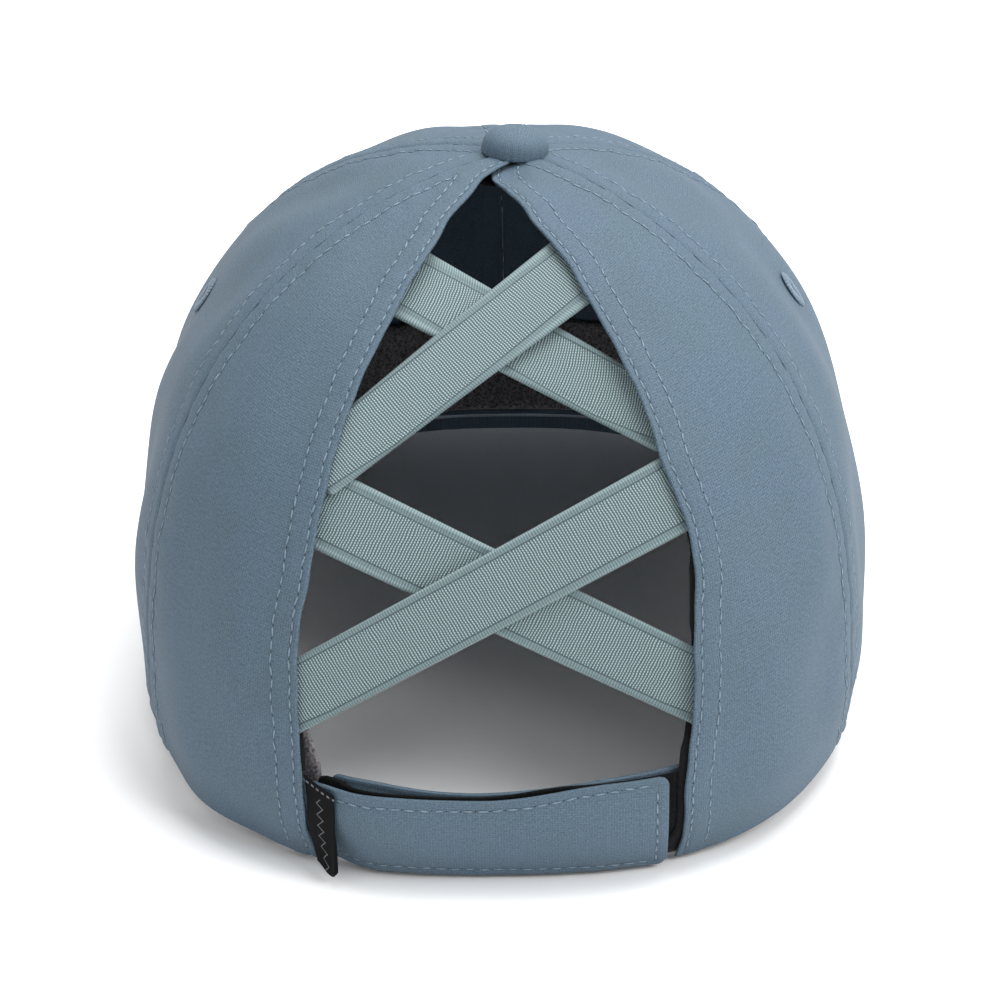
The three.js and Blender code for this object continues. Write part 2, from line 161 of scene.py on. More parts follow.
@dataclass(frozen=True)
class CrownForm:
    """The crown's outer face in millimetres, about its own upright axis.

    Angles run from the back towards the wearer's left, and rises run from 0 at the rim to 1 at the button.
    """

    half_width: float = 79.8
    back: float = 96.1
    front: float = 105.5
    height: float = 122.5
    squareness: float = 2.63
    side_rise: float = 5.0
    front_rise: float = 10.6
    peak_rise: float = 8.0
    apex_shift: float = -4.2
    apex_reach: float = 6.0
    opening_half: float = 38.5
    opening_closes: float = 0.88
    panel_top: float = 0.985
    button_height: float = 4.6
    back_seam: float = math.radians(64.0)
    front_seam: float = math.radians(116.0)
    profile: tuple[ProfileRow, ...] = (
        ProfileRow(0.0, 0.987, 0.939, 0.939, 0.915),
        ProfileRow(0.11, 1.0, 0.998, 0.998, 0.98),
        ProfileRow(0.226, 0.997, 0.992, 0.996, 1.0),
        ProfileRow(0.34, 0.985, 0.965, 0.976, 0.995),
        ProfileRow(0.452, 0.957, 0.917, 0.937, 0.99),
        ProfileRow(0.559, 0.909, 0.852, 0.878, 0.943),
        ProfileRow(0.66, 0.838, 0.768, 0.8, 0.844),
        ProfileRow(0.752, 0.743, 0.669, 0.702, 0.727),
        ProfileRow(0.832, 0.625, 0.556, 0.587, 0.565),
        ProfileRow(0.899, 0.487, 0.431, 0.458, 0.4),
        ProfileRow(0.951, 0.333, 0.296, 0.316, 0.22),
        ProfileRow(0.986, 0.167, 0.153, 0.164, 0.052),
        ProfileRow(1.0, 0.0, 0.0, 0.0, 0.0),
    )
    left_stray: Uneven = Uneven(0.0, (
        Swell(0.5, 0.25, until=0.18),
        Swell(0.9, 0.11, until=0.05),
        Swell(0.9, 0.265, width=0.05),
        Swell(-1.2, 0.4, width=0.075),
        Swell(-0.7, 0.56, width=0.13),
        Swell(0.9, 0.85, width=0.04),
    ))
    right_stray: Uneven = Uneven(0.0, (
        Swell(0.25, 0.5, until=0.42),
        Swell(-1.6, 0.125, width=0.065),
        Swell(1.2, 0.4, width=0.06),
        Swell(-0.85, 0.835, width=0.035),
    ))
    slope_step: float = 0.002
    level_samples: int = 801
    rounds: int = 6
    halvings: int = 26

    def read(self, rise: Array, column: str) -> Array:
        """Reads a column of the profile on a smooth curve through its rows.

        Args:
            rise: Places from 0 at the rim to 1 at the button.
            column: The column's name.

        Returns:
            The column's value at each place.
        """
        rows = np.array([getattr(row, column) for row in self.profile])
        rows = np.concatenate([[2 * rows[0] - rows[1]], rows, [2 * rows[-1] - rows[-2]]])
        last = len(self.profile) - 1
        place = np.clip(np.asarray(rise, float), 0.0, 1.0) * last
        row = np.minimum(place.astype(int), last - 1)
        s = place - row
        before, start, end, after = (rows[row + k] for k in range(4))
        slope, leave = (end - before) / 2, (after - start) / 2
        square = 3 * (end - start) - 2 * slope - leave
        return start + s * (slope + s * (square + s * (2 * (start - end) + slope + leave)))

    def rim(self, angle: Array) -> Array:
        """Height of the rim at an angle."""
        forward = (1 - np.cos(angle)) / 2
        arch = np.maximum(0.0, -np.cos(angle)) ** 3
        return self.side_rise * np.sin(angle) ** 2 + self.front_rise * forward + self.peak_rise * arch

    def shift(self, rise: Array) -> Array:
        """Sideways shift that brings the seams to the button."""
        return self.apex_shift * np.clip(rise, 0.0, 1.0) ** self.apex_reach

    def outer(self, angle: Array, rise: Array) -> Array:
        """Points of the smooth outer face."""
        angle, rise = np.broadcast_arrays(np.asarray(angle, float), np.asarray(rise, float))
        sine = powered(np.sin(angle), 2 / self.squareness)
        cosine = powered(np.cos(angle), 2 / self.squareness)
        behind = self.back * self.read(rise, "back")
        before = self.front * self.read(rise, "front")
        rim = self.rim(angle)
        return np.stack([
            self.half_width * self.read(rise, "side") * sine + self.shift(rise),
            np.where(cosine >= 0, behind, before) * cosine,
            rim + (self.height - rim) * self.read(rise, "level"),
        ], axis=-1)

    def normal(self, angle: Array, rise: Array) -> Array:
        """Outward normals of the smooth outer face."""
        step = self.slope_step
        across = self.outer(angle + step, rise) - self.outer(angle - step, rise)
        up = self.outer(angle, rise + step) - self.outer(angle, rise - step)
        return unit(np.cross(up, across))

    def point(self, angle: Array, rise: Array, depth: Array | float) -> Array:
        """Points at a depth under the outer face, or over it where the depth is negative."""
        angle, rise, depth = np.broadcast_arrays(*(np.asarray(v, float) for v in (angle, rise, depth)))
        return self.outer(angle, rise) - self.normal(angle, rise) * depth[..., None]

    def angle_at(self, x: Array, rise: Array) -> Array:
        """Angle of a sideways place on the back."""
        side = self.half_width * self.read(rise, "side")
        share = np.clip((x - self.shift(rise)) / np.maximum(side, 1e-6), -1.0, 1.0)
        return np.arcsin(powered(share, self.squareness / 2))

    def back_point(self, x: Array, rise: Array, depth: Array | float) -> Array:
        """Point of the back at a sideways place, a rise and a depth."""
        return self.point(self.angle_at(x, rise), rise, depth)

    def rise_at(self, height: Array | float) -> Array:
        """Rise whose level is a height in millimetres."""
        rises = np.linspace(0.0, 1.0, self.level_samples)
        return np.interp(height, self.height * self.read(rises, "level"), rises)

    def back_at(self, x: Array, z: Array, depth: Array | float) -> Array:
        """Point of the back at a sideways place and a height, on the layer at a depth.

        Args:
            x: Sideways places.
            z: Heights.
            depth: Depth of the layer under the outer face.

        Returns:
            The points, one for each place.
        """
        x, z = np.broadcast_arrays(np.asarray(x, float), np.asarray(z, float))
        aim_x, aim_z = x.copy(), z.copy()
        for _ in range(self.rounds):
            low, high = np.zeros_like(aim_z), np.ones_like(aim_z)
            for _ in range(self.halvings):
                rise = (low + high) / 2
                below = self.outer(self.angle_at(aim_x, rise), rise)[..., 2] < aim_z
                low, high = np.where(below, rise, low), np.where(below, high, rise)
            point = self.back_point(aim_x, rise, depth)
            aim_x = aim_x + x - point[..., 0]
            aim_z = aim_z + z - point[..., 2]
        return point

    def hem(self, side: int, rise: Array) -> Array:
        """Sideways place of a hem of the opening, which strays outwards a little from its even line."""
        closing = self.shift(rise) * smooth(rise, self.opening_closes, self.panel_top)
        edge = np.maximum(self.opening_half * self.read(rise, "opening"), 0.0)
        stray = self.left_stray if side > 0 else self.right_stray
        return closing + side * (edge + stray(rise))

    def origin(self) -> Array:
        """The crown's axis and base in the frame, from the button's node."""
        low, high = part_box("top_button")
        middle = (low + high) / 2
        top = high.z / MM - (self.height + self.button_height)
        return np.array([middle.x / MM - self.apex_shift, middle.y / MM, top])

    def in_frame(self, points: Array) -> Array:
        """Turns the crown's millimetres into the frame's metres."""
        return (points + self.origin()) * MM


CROWN = CrownForm()


class Edge(Enum):
    """The four edges of a piece of cloth."""

    LEFT = "left"
    RIGHT = "right"
    FOOT = "foot"
    HEAD = "head"


def linear(code: str) -> tuple[float, float, float, float]:
    """Turns an sRGB hex code into a linear colour with an alpha of 1."""
    parts = [int(code[i:i + 2], 16) / 255 for i in (1, 3, 5)]
    lit = [c / 12.92 if c <= 0.04045 else ((c + 0.055) / 1.055) ** 2.4 for c in parts]
    return (*lit, 1.0)


class Shading:
    """A material in the making: its node tree and its one principled shader."""

    def __init__(self, name: str, roughness: float, sheen: float, sheen_roughness: float = 0.5,
                 specular: float = 0.5) -> None:
        """Starts the material.

        Args:
            name: The material's name.
            roughness: Roughness of the whole surface.
            sheen: Weight of the sheen of loose fibres.
            sheen_roughness: Roughness of that sheen.
            specular: Level of the mirror part, lower where fibres trap the light.
        """
        self.material = bpy.data.materials.new(name)
        self.material.use_nodes = True
        self.tree = self.material.node_tree
        self.tree.nodes.clear()
        self.shader = self.node("BsdfPrincipled", {
            "Roughness": roughness, "Sheen Weight": sheen, "Sheen Roughness": sheen_roughness, "IOR": 1.5,
            "Specular IOR Level": specular,
        })
        self.node("OutputMaterial", {"Surface": self.shader.outputs["BSDF"]})

    def node(self, kind: str, inputs: dict, **settings: object) -> bpy.types.Node:
        """Adds a node.

        Args:
            kind: The node's type, without the first word of its name.
            inputs: Values or sockets for its inputs, by name or place.
            settings: The node's own settings.

        Returns:
            The new node.
        """
        node = self.tree.nodes.new(f"ShaderNode{kind}")
        for name, value in settings.items():
            setattr(node, name, value)
        for key, value in inputs.items():
            if isinstance(value, Socket):
                self.tree.links.new(value, node.inputs[key])
            else:
                node.inputs[key].default_value = value
        return node

    def calc(self, operation: str, *values: object, clamp: bool = False) -> Socket:
        """A math node on up to three values or sockets."""
        return self.node("Math", dict(enumerate(values)), operation=operation, use_clamp=clamp).outputs[0]

    def scaled(self, value: object, gain: object, offset: object, clamp: bool = False) -> Socket:
        """A value times a gain, plus an offset."""
        return self.calc("MULTIPLY_ADD", value, gain, offset, clamp=clamp)

    def mix(self, factor: Socket, first: object, second: object) -> Socket:
        """Mixes two colours, each a socket or an sRGB code, by a factor."""
        first, second = (linear(c) if isinstance(c, str) else c for c in (first, second))
        return self.node("Mix", {0: factor, 6: first, 7: second}, data_type="RGBA").outputs[2]

    def ridges(self, along: Socket, pitch: float, offset: object = 0.0) -> Socket:
        """Even ridges from 0 to 1 with a pitch in millimetres, along a coordinate in millimetres."""
        turns = self.scaled(along, 2 * math.pi / pitch, offset)
        return self.scaled(self.calc("SINE", turns), 0.5, 0.5)

    def noise(self, place: Socket, scale: float, detail: float, roughness: float = 0.5) -> Socket:
        """Soft noise from 0 to 1, so many times finer than the place's own unit."""
        return self.node("TexNoise", {
            "Vector": place, "Scale": scale, "Detail": detail, "Roughness": roughness,
        }).outputs[0]

    def stretched(self, place: Socket, across: float, along: float) -> Socket:
        """A place whose two first coordinates are scaled."""
        return self.node("Mapping", {0: place, 3: (across, along, 1.0)}).outputs[0]

    def cloth_uv(self) -> tuple[Socket, Socket, Socket]:
        """The piece's UV map in millimetres, and its two coordinates."""
        uv = self.node("UVMap", {}, uv_map="cloth").outputs[0]
        parts = self.node("SeparateXYZ", {0: uv}).outputs
        return uv, parts[0], parts[1]

    def object_place(self) -> Socket:
        """The object's own coordinates in metres."""
        return self.node("TexCoord", {}).outputs["Object"]

    def finish(self, colour: Socket, height: Socket | None = None, strength: float = 0.5,
               relief: float = 0.1) -> Material:
        """Gives the shader its colour and its relief.

        Args:
            colour: The base colour.
            height: Height of the relief from 0 to 1, if there is one.
            strength: How strongly the relief tilts the surface.
            relief: Its full height in millimetres.

        Returns:
            The finished material.
        """
        self.tree.links.new(colour, self.shader.inputs["Base Color"])
        if height is not None:
            bump_node = self.node("Bump", {"Strength": strength, "Distance": relief * MM, "Height": height})
            self.tree.links.new(bump_node.outputs[0], self.shader.inputs["Normal"])
        return self.material


@dataclass(frozen=True)
class RipstopCloth:
    """Plain-woven polyester ripstop: a matt cloth with a faint sheen and a fine raised grid.

    The grid is about 0.55 mm. The cloth's own threads are finer than the render shows, so they are
    drawn as broken specks about 0.4 mm long, which give the eye the same dry, crisp grain.
    """

    name: str = "polyester_ripstop"
    light: str = "#5b6f80"
    dark: str = "#384753"
    worn: str = "#42534f"
    grid: float = 0.56
    grid_share: float = 0.34
    grid_power: float = 3.0
    speck: float = 0.42
    speck_gain: float = 2.5
    speck_floor: float = -1.05
    speck_height: float = 1.4
    slub: float = 0.8
    slub_share: float = 0.3
    mottle: float = 17.0
    mottle_gain: float = 1.4
    mottle_floor: float = -0.55
    relief: float = 0.06

    def make(self) -> Material:
        """Builds the material on the piece's own UV map, in millimetres."""
        shading = Shading(self.name, 0.7, sheen=0.03, sheen_roughness=0.4, specular=0.3)
        uv, across, along = shading.cloth_uv()
        warp, weft = (shading.calc("POWER", shading.ridges(run, self.grid), self.grid_power)
                      for run in (across, along))
        raised = shading.calc("MAXIMUM", warp, weft)
        # Specks and slubs are long along the warp
        speck = shading.noise(shading.stretched(uv, 1.7 / self.speck, 0.8 / self.speck), 1.0, 2.0, 0.7)
        slub = shading.noise(shading.stretched(uv, 1 / self.slub, 0.14 / self.slub), 1.0, 2.0, 0.6)
        cloud = shading.noise(uv, 1 / self.mottle, 3.0)
        grain = shading.scaled(speck, self.speck_gain, self.speck_floor)
        shade = shading.scaled(raised, self.grid_share, grain)
        shade = shading.scaled(slub, self.slub_share, shade, clamp=True)
        ground = shading.mix(shade, self.dark, self.light)
        patch = shading.scaled(cloud, self.mottle_gain, self.mottle_floor, clamp=True)
        faded = shading.mix(patch, ground, shading.mix(shade, self.worn, ground))
        return shading.finish(faded, shading.scaled(speck, self.speck_height, raised), relief=self.relief)


@dataclass(frozen=True)
class WovenElastic:
    """Knitted-in elastic webbing: cross ribs of pale floats over dark gaps, with a denser selvedge.

    The real ribs are 0.5 mm apart. They are drawn 0.58 mm apart so that each shows.
    """

    name: str = "woven_elastic"
    light: str = "#9fb1b3"
    middle: str = "#798d90"
    dark: str = "#2d3f44"
    rib: float = 0.58
    float_pitch: float = 0.52
    float_share: float = 0.6
    body_half: float = 5.6
    rim_width: float = 1.15
    # Painted highlight on the selvedge's outermost thread, added to its colour
    rim_highlight: float = 0.1
    selvedge_light: float = 0.17
    selvedge_ribs: float = 0.3
    groove_half: float = 0.16
    groove_shade: float = 0.75
    relief: float = 0.18

    def make(self) -> Material:
        """Builds the material on a UV map with the band's run in u and its width, from the middle, in v."""
        shading = Shading(self.name, 0.8, sheen=0.12)
        uv, run, width = shading.cloth_uv()
        bent = shading.scaled(shading.noise(uv, 0.35, 1.0), 0.5, run)
        ribs = shading.ridges(bent, self.rib)
        # Neighbouring ribs have their floats half a step apart
        parity = shading.calc("SINE", shading.calc("MULTIPLY", bent, math.pi / self.rib))
        half_step = shading.calc("MULTIPLY", shading.calc("SIGN", parity), math.pi / 2)
        floats = shading.ridges(width, self.float_pitch, half_step)
        body = shading.calc("MULTIPLY", ribs, shading.scaled(floats, self.float_share, 1 - self.float_share))
        out = shading.calc("ABSOLUTE", width)
        selvedge = shading.calc("GREATER_THAN", out, self.body_half)
        # The outermost thread of the selvedge stands a little proud; the light it catches is painted on its
        # colour as a highlight
        rim = shading.calc("GREATER_THAN", out, self.body_half + self.rim_width)
        edge_ground = shading.scaled(rim, self.rim_highlight, self.selvedge_light)
        edge_weave = shading.scaled(ribs, self.selvedge_ribs, edge_ground)
        weave = shading.node("Mix", {0: selvedge, 2: body, 3: edge_weave}).outputs[0]
        # The groove between the body and the selvedge is darkened with painted shade
        from_groove = shading.calc("ABSOLUTE", shading.calc("SUBTRACT", out, self.body_half))
        groove = shading.calc("LESS_THAN", from_groove, self.groove_half)
        lit = shading.mix(shading.calc("MULTIPLY", weave, 1.7, clamp=True), self.dark, self.middle)
        lit = shading.mix(shading.scaled(weave, 2.4, -1.1, clamp=True), lit, self.light)
        lit = shading.mix(shading.calc("MULTIPLY", groove, self.groove_shade), lit, self.dark)
        return shading.finish(lit, weave, strength=0.7, relief=self.relief)


@dataclass(frozen=True)
class FineWeave:
    """A narrow woven or knitted textile: thread, tape, hook, loop or heather knit, by its two colours."""

    name: str
    light: str
    dark: str
    grain: float
    roughness: float = 0.85
    sheen: float = 0.2
    contrast: float = 1.0
    relief: float = 0.1
    specular: float = 0.5

    def make(self) -> Material:
        """Builds a speckled textile on Object coordinates, with its grain in millimetres."""
        shading = Shading(self.name, self.roughness, self.sheen, specular=self.specular)
        speckle = shading.noise(shading.object_place(), 1 / (self.grain * MM), 2.0, 0.6)
        gain = 3.0 * self.contrast
        spread = shading.scaled(speckle, gain, 0.5 - gain / 2, clamp=True)
        return shading.finish(shading.mix(spread, self.dark, self.light), speckle, relief=self.relief)


@dataclass(frozen=True)
class LabelSatin:
    """A woven damask label: a close black satin with a stitched head and a plain pale zigzag below it."""

    name: str = "label_satin"
    ground: str = "#070708"
    light: str = "#0d0d0f"
    motif: str = "#66696d"
    thread_pitch: float = 0.35
    zigzag_pitch: float = 2.6
    zigzag_width: float = 1.5
    zigzag_start: float = 3.0
    line_half: float = 0.13
    head_stitch: float = 1.0
    head_pitch: float = 1.3
    head_half: float = 0.22
    head_gap: float = 0.45
    head_slope: float = 0.45
    relief: float = 0.05

    def make(self) -> Material:
        """Builds the material on a UV map in millimetres, with v down the label."""
        shading = Shading(self.name, 0.6, sheen=0.01, sheen_roughness=0.4, specular=0.08)
        _, across, fall = shading.cloth_uv()
        # The label hangs from a sloping head, so that its own rows slope too
        down = shading.scaled(across, -self.head_slope, fall)
        threads = shading.ridges(down, self.thread_pitch)
        swing = shading.calc("PINGPONG", down, self.zigzag_pitch / 2)
        swing = shading.scaled(swing, 2 * self.zigzag_width / self.zigzag_pitch, -self.zigzag_width / 2)
        near = shading.calc("ABSOLUTE", shading.calc("SUBTRACT", across, swing))
        line = shading.calc("LESS_THAN", near, self.line_half)
        line = shading.calc("MULTIPLY", line, shading.calc("GREATER_THAN", down, self.zigzag_start))
        # A short row of pale stitches holds the label's folded head
        beside = shading.calc("ABSOLUTE", shading.calc("SUBTRACT", fall, self.head_stitch))
        row = shading.calc("LESS_THAN", beside, self.head_half)
        stitch = shading.calc("GREATER_THAN", shading.ridges(across, self.head_pitch), self.head_gap)
        line = shading.calc("MAXIMUM", line, shading.calc("MULTIPLY", row, stitch))
        ground = shading.mix(threads, self.ground, self.light)
        height = shading.calc("ADD", threads, line)
        return shading.finish(shading.mix(line, ground, self.motif), height, 0.4, self.relief)


@dataclass(frozen=True)
class StudioPaint:
    """The studio's own floor: a plain matt white with a very faint unevenness."""

    name: str = "studio_white"
    colour: str = "#f7f8f9"
    light: str = "#fbfbfc"

    def make(self) -> Material:
        """Builds the paint on Object coordinates."""
        shading = Shading(self.name, 0.9, sheen=0.0)
        cloud = shading.noise(shading.object_place(), 3.0, 1.0)
        return shading.finish(shading.mix(cloud, self.colour, self.light))


class Wardrobe:
    """Every finish of the cap, made once."""

    def __init__(self) -> None:
        """Makes the finishes."""
        self.cloth = RipstopCloth().make()
        self.elastic = WovenElastic().make()
        self.thread = FineWeave("polyester_thread", "#788c9c", "#526370", 0.5, roughness=0.5, sheen=0.1,
                                contrast=0.6).make()
        # Painted shade, for the needle holes of the stitching and the holes of the eyelets
        self.needle_hole_shade = FineWeave("needle_hole_shade", "#252e35", "#1a2126", 0.4, roughness=0.95).make()
        self.embroidery = FineWeave("embroidery_thread", "#64798a", "#4a5c6b", 0.35, roughness=0.5).make()
        self.tape = FineWeave("black_twill_tape", "#131416", "#060708", 0.5, sheen=0.05, contrast=0.8,
                              specular=0.2).make()
        self.hook = FineWeave("hook_tape", "#141517", "#040405", 0.9, roughness=0.7, sheen=0.0, relief=0.5,
                              specular=0.25).make()
        self.loop = FineWeave("brushed_loop_tape", "#0f1011", "#030404", 0.6, roughness=0.95, sheen=0.03,
                              relief=0.4, specular=0.15).make()
        self.heather = FineWeave("heather_wicking_knit", "#8d898b", "#343336", 0.6, roughness=0.9,
                                 sheen=0.3, relief=0.15).make()
        self.label = LabelSatin().make()
        self.studio = StudioPaint().make()


def drawn(bm: bmesh.types.BMesh, name: str) -> bpy.types.Mesh:
    """Turns a bmesh into a mesh of that name, and frees it."""
    mesh = bpy.data.meshes.new(name)
    bm.to_mesh(mesh)
    bm.free()
    return mesh


def lay_uv(bm: bmesh.types.BMesh, flat: dict[int, tuple[float, float]]) -> None:
    """Gives a bmesh its UV map, from the flat place of each vertex in millimetres."""
    uv = bm.loops.layers.uv.new("cloth")
    for face in bm.faces:
        for loop in face.loops:
            loop[uv].uv = flat[loop.vert.index]


def finished(mesh: bpy.types.Mesh, material: Material, slot: str,
             stands_for: Sequence[str] = ()) -> bpy.types.Object:
    """Puts a mesh in the scene as a piece of the cap, under the mesh's own name.

    Args:
        mesh: The finished mesh, in the frame's metres.
        material: Its finish.
        slot: The record's material slot; not used.
        stands_for: The nodes that the piece replaces.

    Returns:
        The new object.
    """
    mesh.materials.append(material)
    mesh.polygons.foreach_set("use_smooth", [True] * len(mesh.polygons))
    piece = bpy.data.objects.new(mesh.name, mesh)
    bpy.context.scene.collection.objects.link(piece)
    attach(piece, "root")
    if stands_for:
        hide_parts(*stands_for)
    log.info("%s: %d faces", piece.name, len(mesh.polygons))
    return piece


class Cloth:
    """A rectangular piece of cloth on a grid, in the crown's millimetres.

    Rows run from its foot to its head, and columns from its left edge to its right edge.
    """

    def __init__(self, columns: int, rows: int, place: Place, crowd: float = 0.0) -> None:
        """Lays the grid.

        Args:
            columns: Number of faces across.
            rows: Number of faces from foot to head.
            place: Gives the points of the outer face for shares across and along.
            crowd: How far, from 0 to 1, the columns and rows crowd towards the edges.
        """
        across, along = np.meshgrid(self._crowded(columns, crowd), self._crowded(rows, crowd))
        self.points = place(across, along)
        self.measure()

    @staticmethod
    def _crowded(count: int, crowd: float) -> Array:
        """Shares from 0 to 1, closer together near both ends."""
        share = np.linspace(0.0, 1.0, count + 1)
        return share - crowd * np.sin(2 * math.pi * share) / (2 * math.pi)

    def measure(self) -> None:
        """Works out normals and the distance of each point from each edge."""
        self.normals = unit(np.cross(np.gradient(self.points, axis=1), np.gradient(self.points, axis=0)))
        self.from_left = np.pad(np.cumsum(spans(self.points, 1), axis=1), ((0, 0), (1, 0)))
        self.from_foot = np.pad(np.cumsum(spans(self.points, 0), axis=0), ((1, 0), (0, 0)))
        self.from_right = self.from_left[:, -1:] - self.from_left
        self.from_head = self.from_foot[-1:, :] - self.from_foot

    def face(self, outward: Array) -> "Cloth":
        """Turns the normals so that they agree with one outward direction at the middle."""
        row, column = (n // 2 for n in self.normals.shape[:2])
        if self.normals[row, column] @ outward < 0:
            self.points = self.points[:, ::-1]
            self.measure()
        return self

    def push(self, depth: Array) -> None:
        """Moves each point inwards by a depth, and keeps the distances of the flat cloth."""
        self.points = self.points - self.normals * depth[..., None]

    def roll(self, radius: float, edges: Iterable[Edge], share: float | Array = 1.0) -> None:
        """Rounds the cloth over at its edges, as a fold does, by a share of the full depth."""
        depth = np.zeros(self.from_left.shape)
        for edge in edges:
            near = np.clip(radius - self.distance(edge), 0.0, radius)
            depth = np.maximum(depth, radius - np.sqrt(radius**2 - near**2))
        self.push(depth * share)

    def distance(self, edge: Edge) -> Array:
        """Distance of each point from one edge."""
        return getattr(self, f"from_{edge.value}")

    def inner_edge(self) -> Edge:
        """The upright edge that lies nearer the middle of the back."""
        left, right = np.abs(self.points[5, (0, -1), 0])
        return Edge.LEFT if left < right else Edge.RIGHT

    def line(self, edge: Edge, distance: float, start: float = 0.0, end: float = 0.0,
             room: float = 2.0) -> tuple[Array, Array]:
        """A line on the cloth at an even distance from an edge.

        Args:
            edge: The edge.
            distance: Distance from it, in millimetres.
            start: Length left out at the line's start.
            end: Length left out at its end.
            room: How many times the distance the cloth has to be wide for the line to go on.

        Returns:
            The line's points and normals.
        """
        upright = edge in (Edge.LEFT, Edge.RIGHT)
        away = self.distance(edge) if upright else self.distance(edge).T
        points = self.points if upright else self.points.transpose(1, 0, 2)
        normals = self.normals if upright else self.normals.transpose(1, 0, 2)
        if edge in (Edge.RIGHT, Edge.HEAD):
            away, points, normals = away[:, ::-1], points[:, ::-1], normals[:, ::-1]
        kept = [i for i in range(len(away)) if away[i, -1] > room * distance]
        if len(kept) < 2:
            return np.zeros((0, 3)), np.zeros((0, 3))
        line, face = (np.array([read_row(distance, away[i], rows[i]) for i in kept])
                      for rows in (points, normals))
        run = run_of(line)
        inside = (run >= start) & (run <= run[-1] - end)
        return line[inside], face[inside]

    def build(self, name: str, wall: float, material: Material, slot: str, stands_for: Sequence[str] = (),
              rests_on: Sequence[str] = (), strip: bool = False, turned: bool = False) -> bpy.types.Object:
        """Makes the piece's object, a grid with its wall on the inner side.

        Args:
            name: The piece's name.
            wall: Thickness of the cloth in millimetres.
            material: Its finish.
            slot: The record's material slot; not used.
            stands_for: The nodes that it replaces.
            rests_on: The pieces that it rests on; where there are any, its cut sizes are worked out.
            strip: Whether it is a strip of even width, whose mean sizes count, not the largest ones.
            turned: Whether the UV map has the run from foot to head in u.

        Returns:
            The object.
        """
        rows, columns = (n - 1 for n in self.points.shape[:2])
        bm = bmesh.new()
        bmesh.ops.create_grid(bm, x_segments=columns, y_segments=rows, size=0.5)
        places = CROWN.in_frame(self.points)
        across = self.from_left - self.from_left[:, -1:] / 2
        flat = {}
        for vertex in bm.verts:
            at = round((vertex.co.y + 0.5) * rows), round((vertex.co.x + 0.5) * columns)
            pair = (across[at], self.from_foot[at])
            flat[vertex.index] = pair[::-1] if turned else pair
            vertex.co = places[at]
        lay_uv(bm, flat)
        piece = finished(drawn(bm, name), material, slot, stands_for)
        solid = piece.modifiers.new("wall", "SOLIDIFY")
        solid.thickness = wall * MM
        solid.offset = -1.0
        solid.use_even_offset = False
        if rests_on:
            self._declare(np.mean if strip else np.max)
        return piece

    def _declare(self, size: Callable[[Array], float],
                 ) -> None:
        """Works out the sizes the piece was cut to, and does nothing further with them.

        Args:
            size: Sums up the widths of its rows, and the lengths of its columns.
        """
        width, length = float(size(self.from_left[:, -1])), float(size(self.from_foot[-1, :]))
        wide, tall = spans(self.points, 1), spans(self.points, 0)


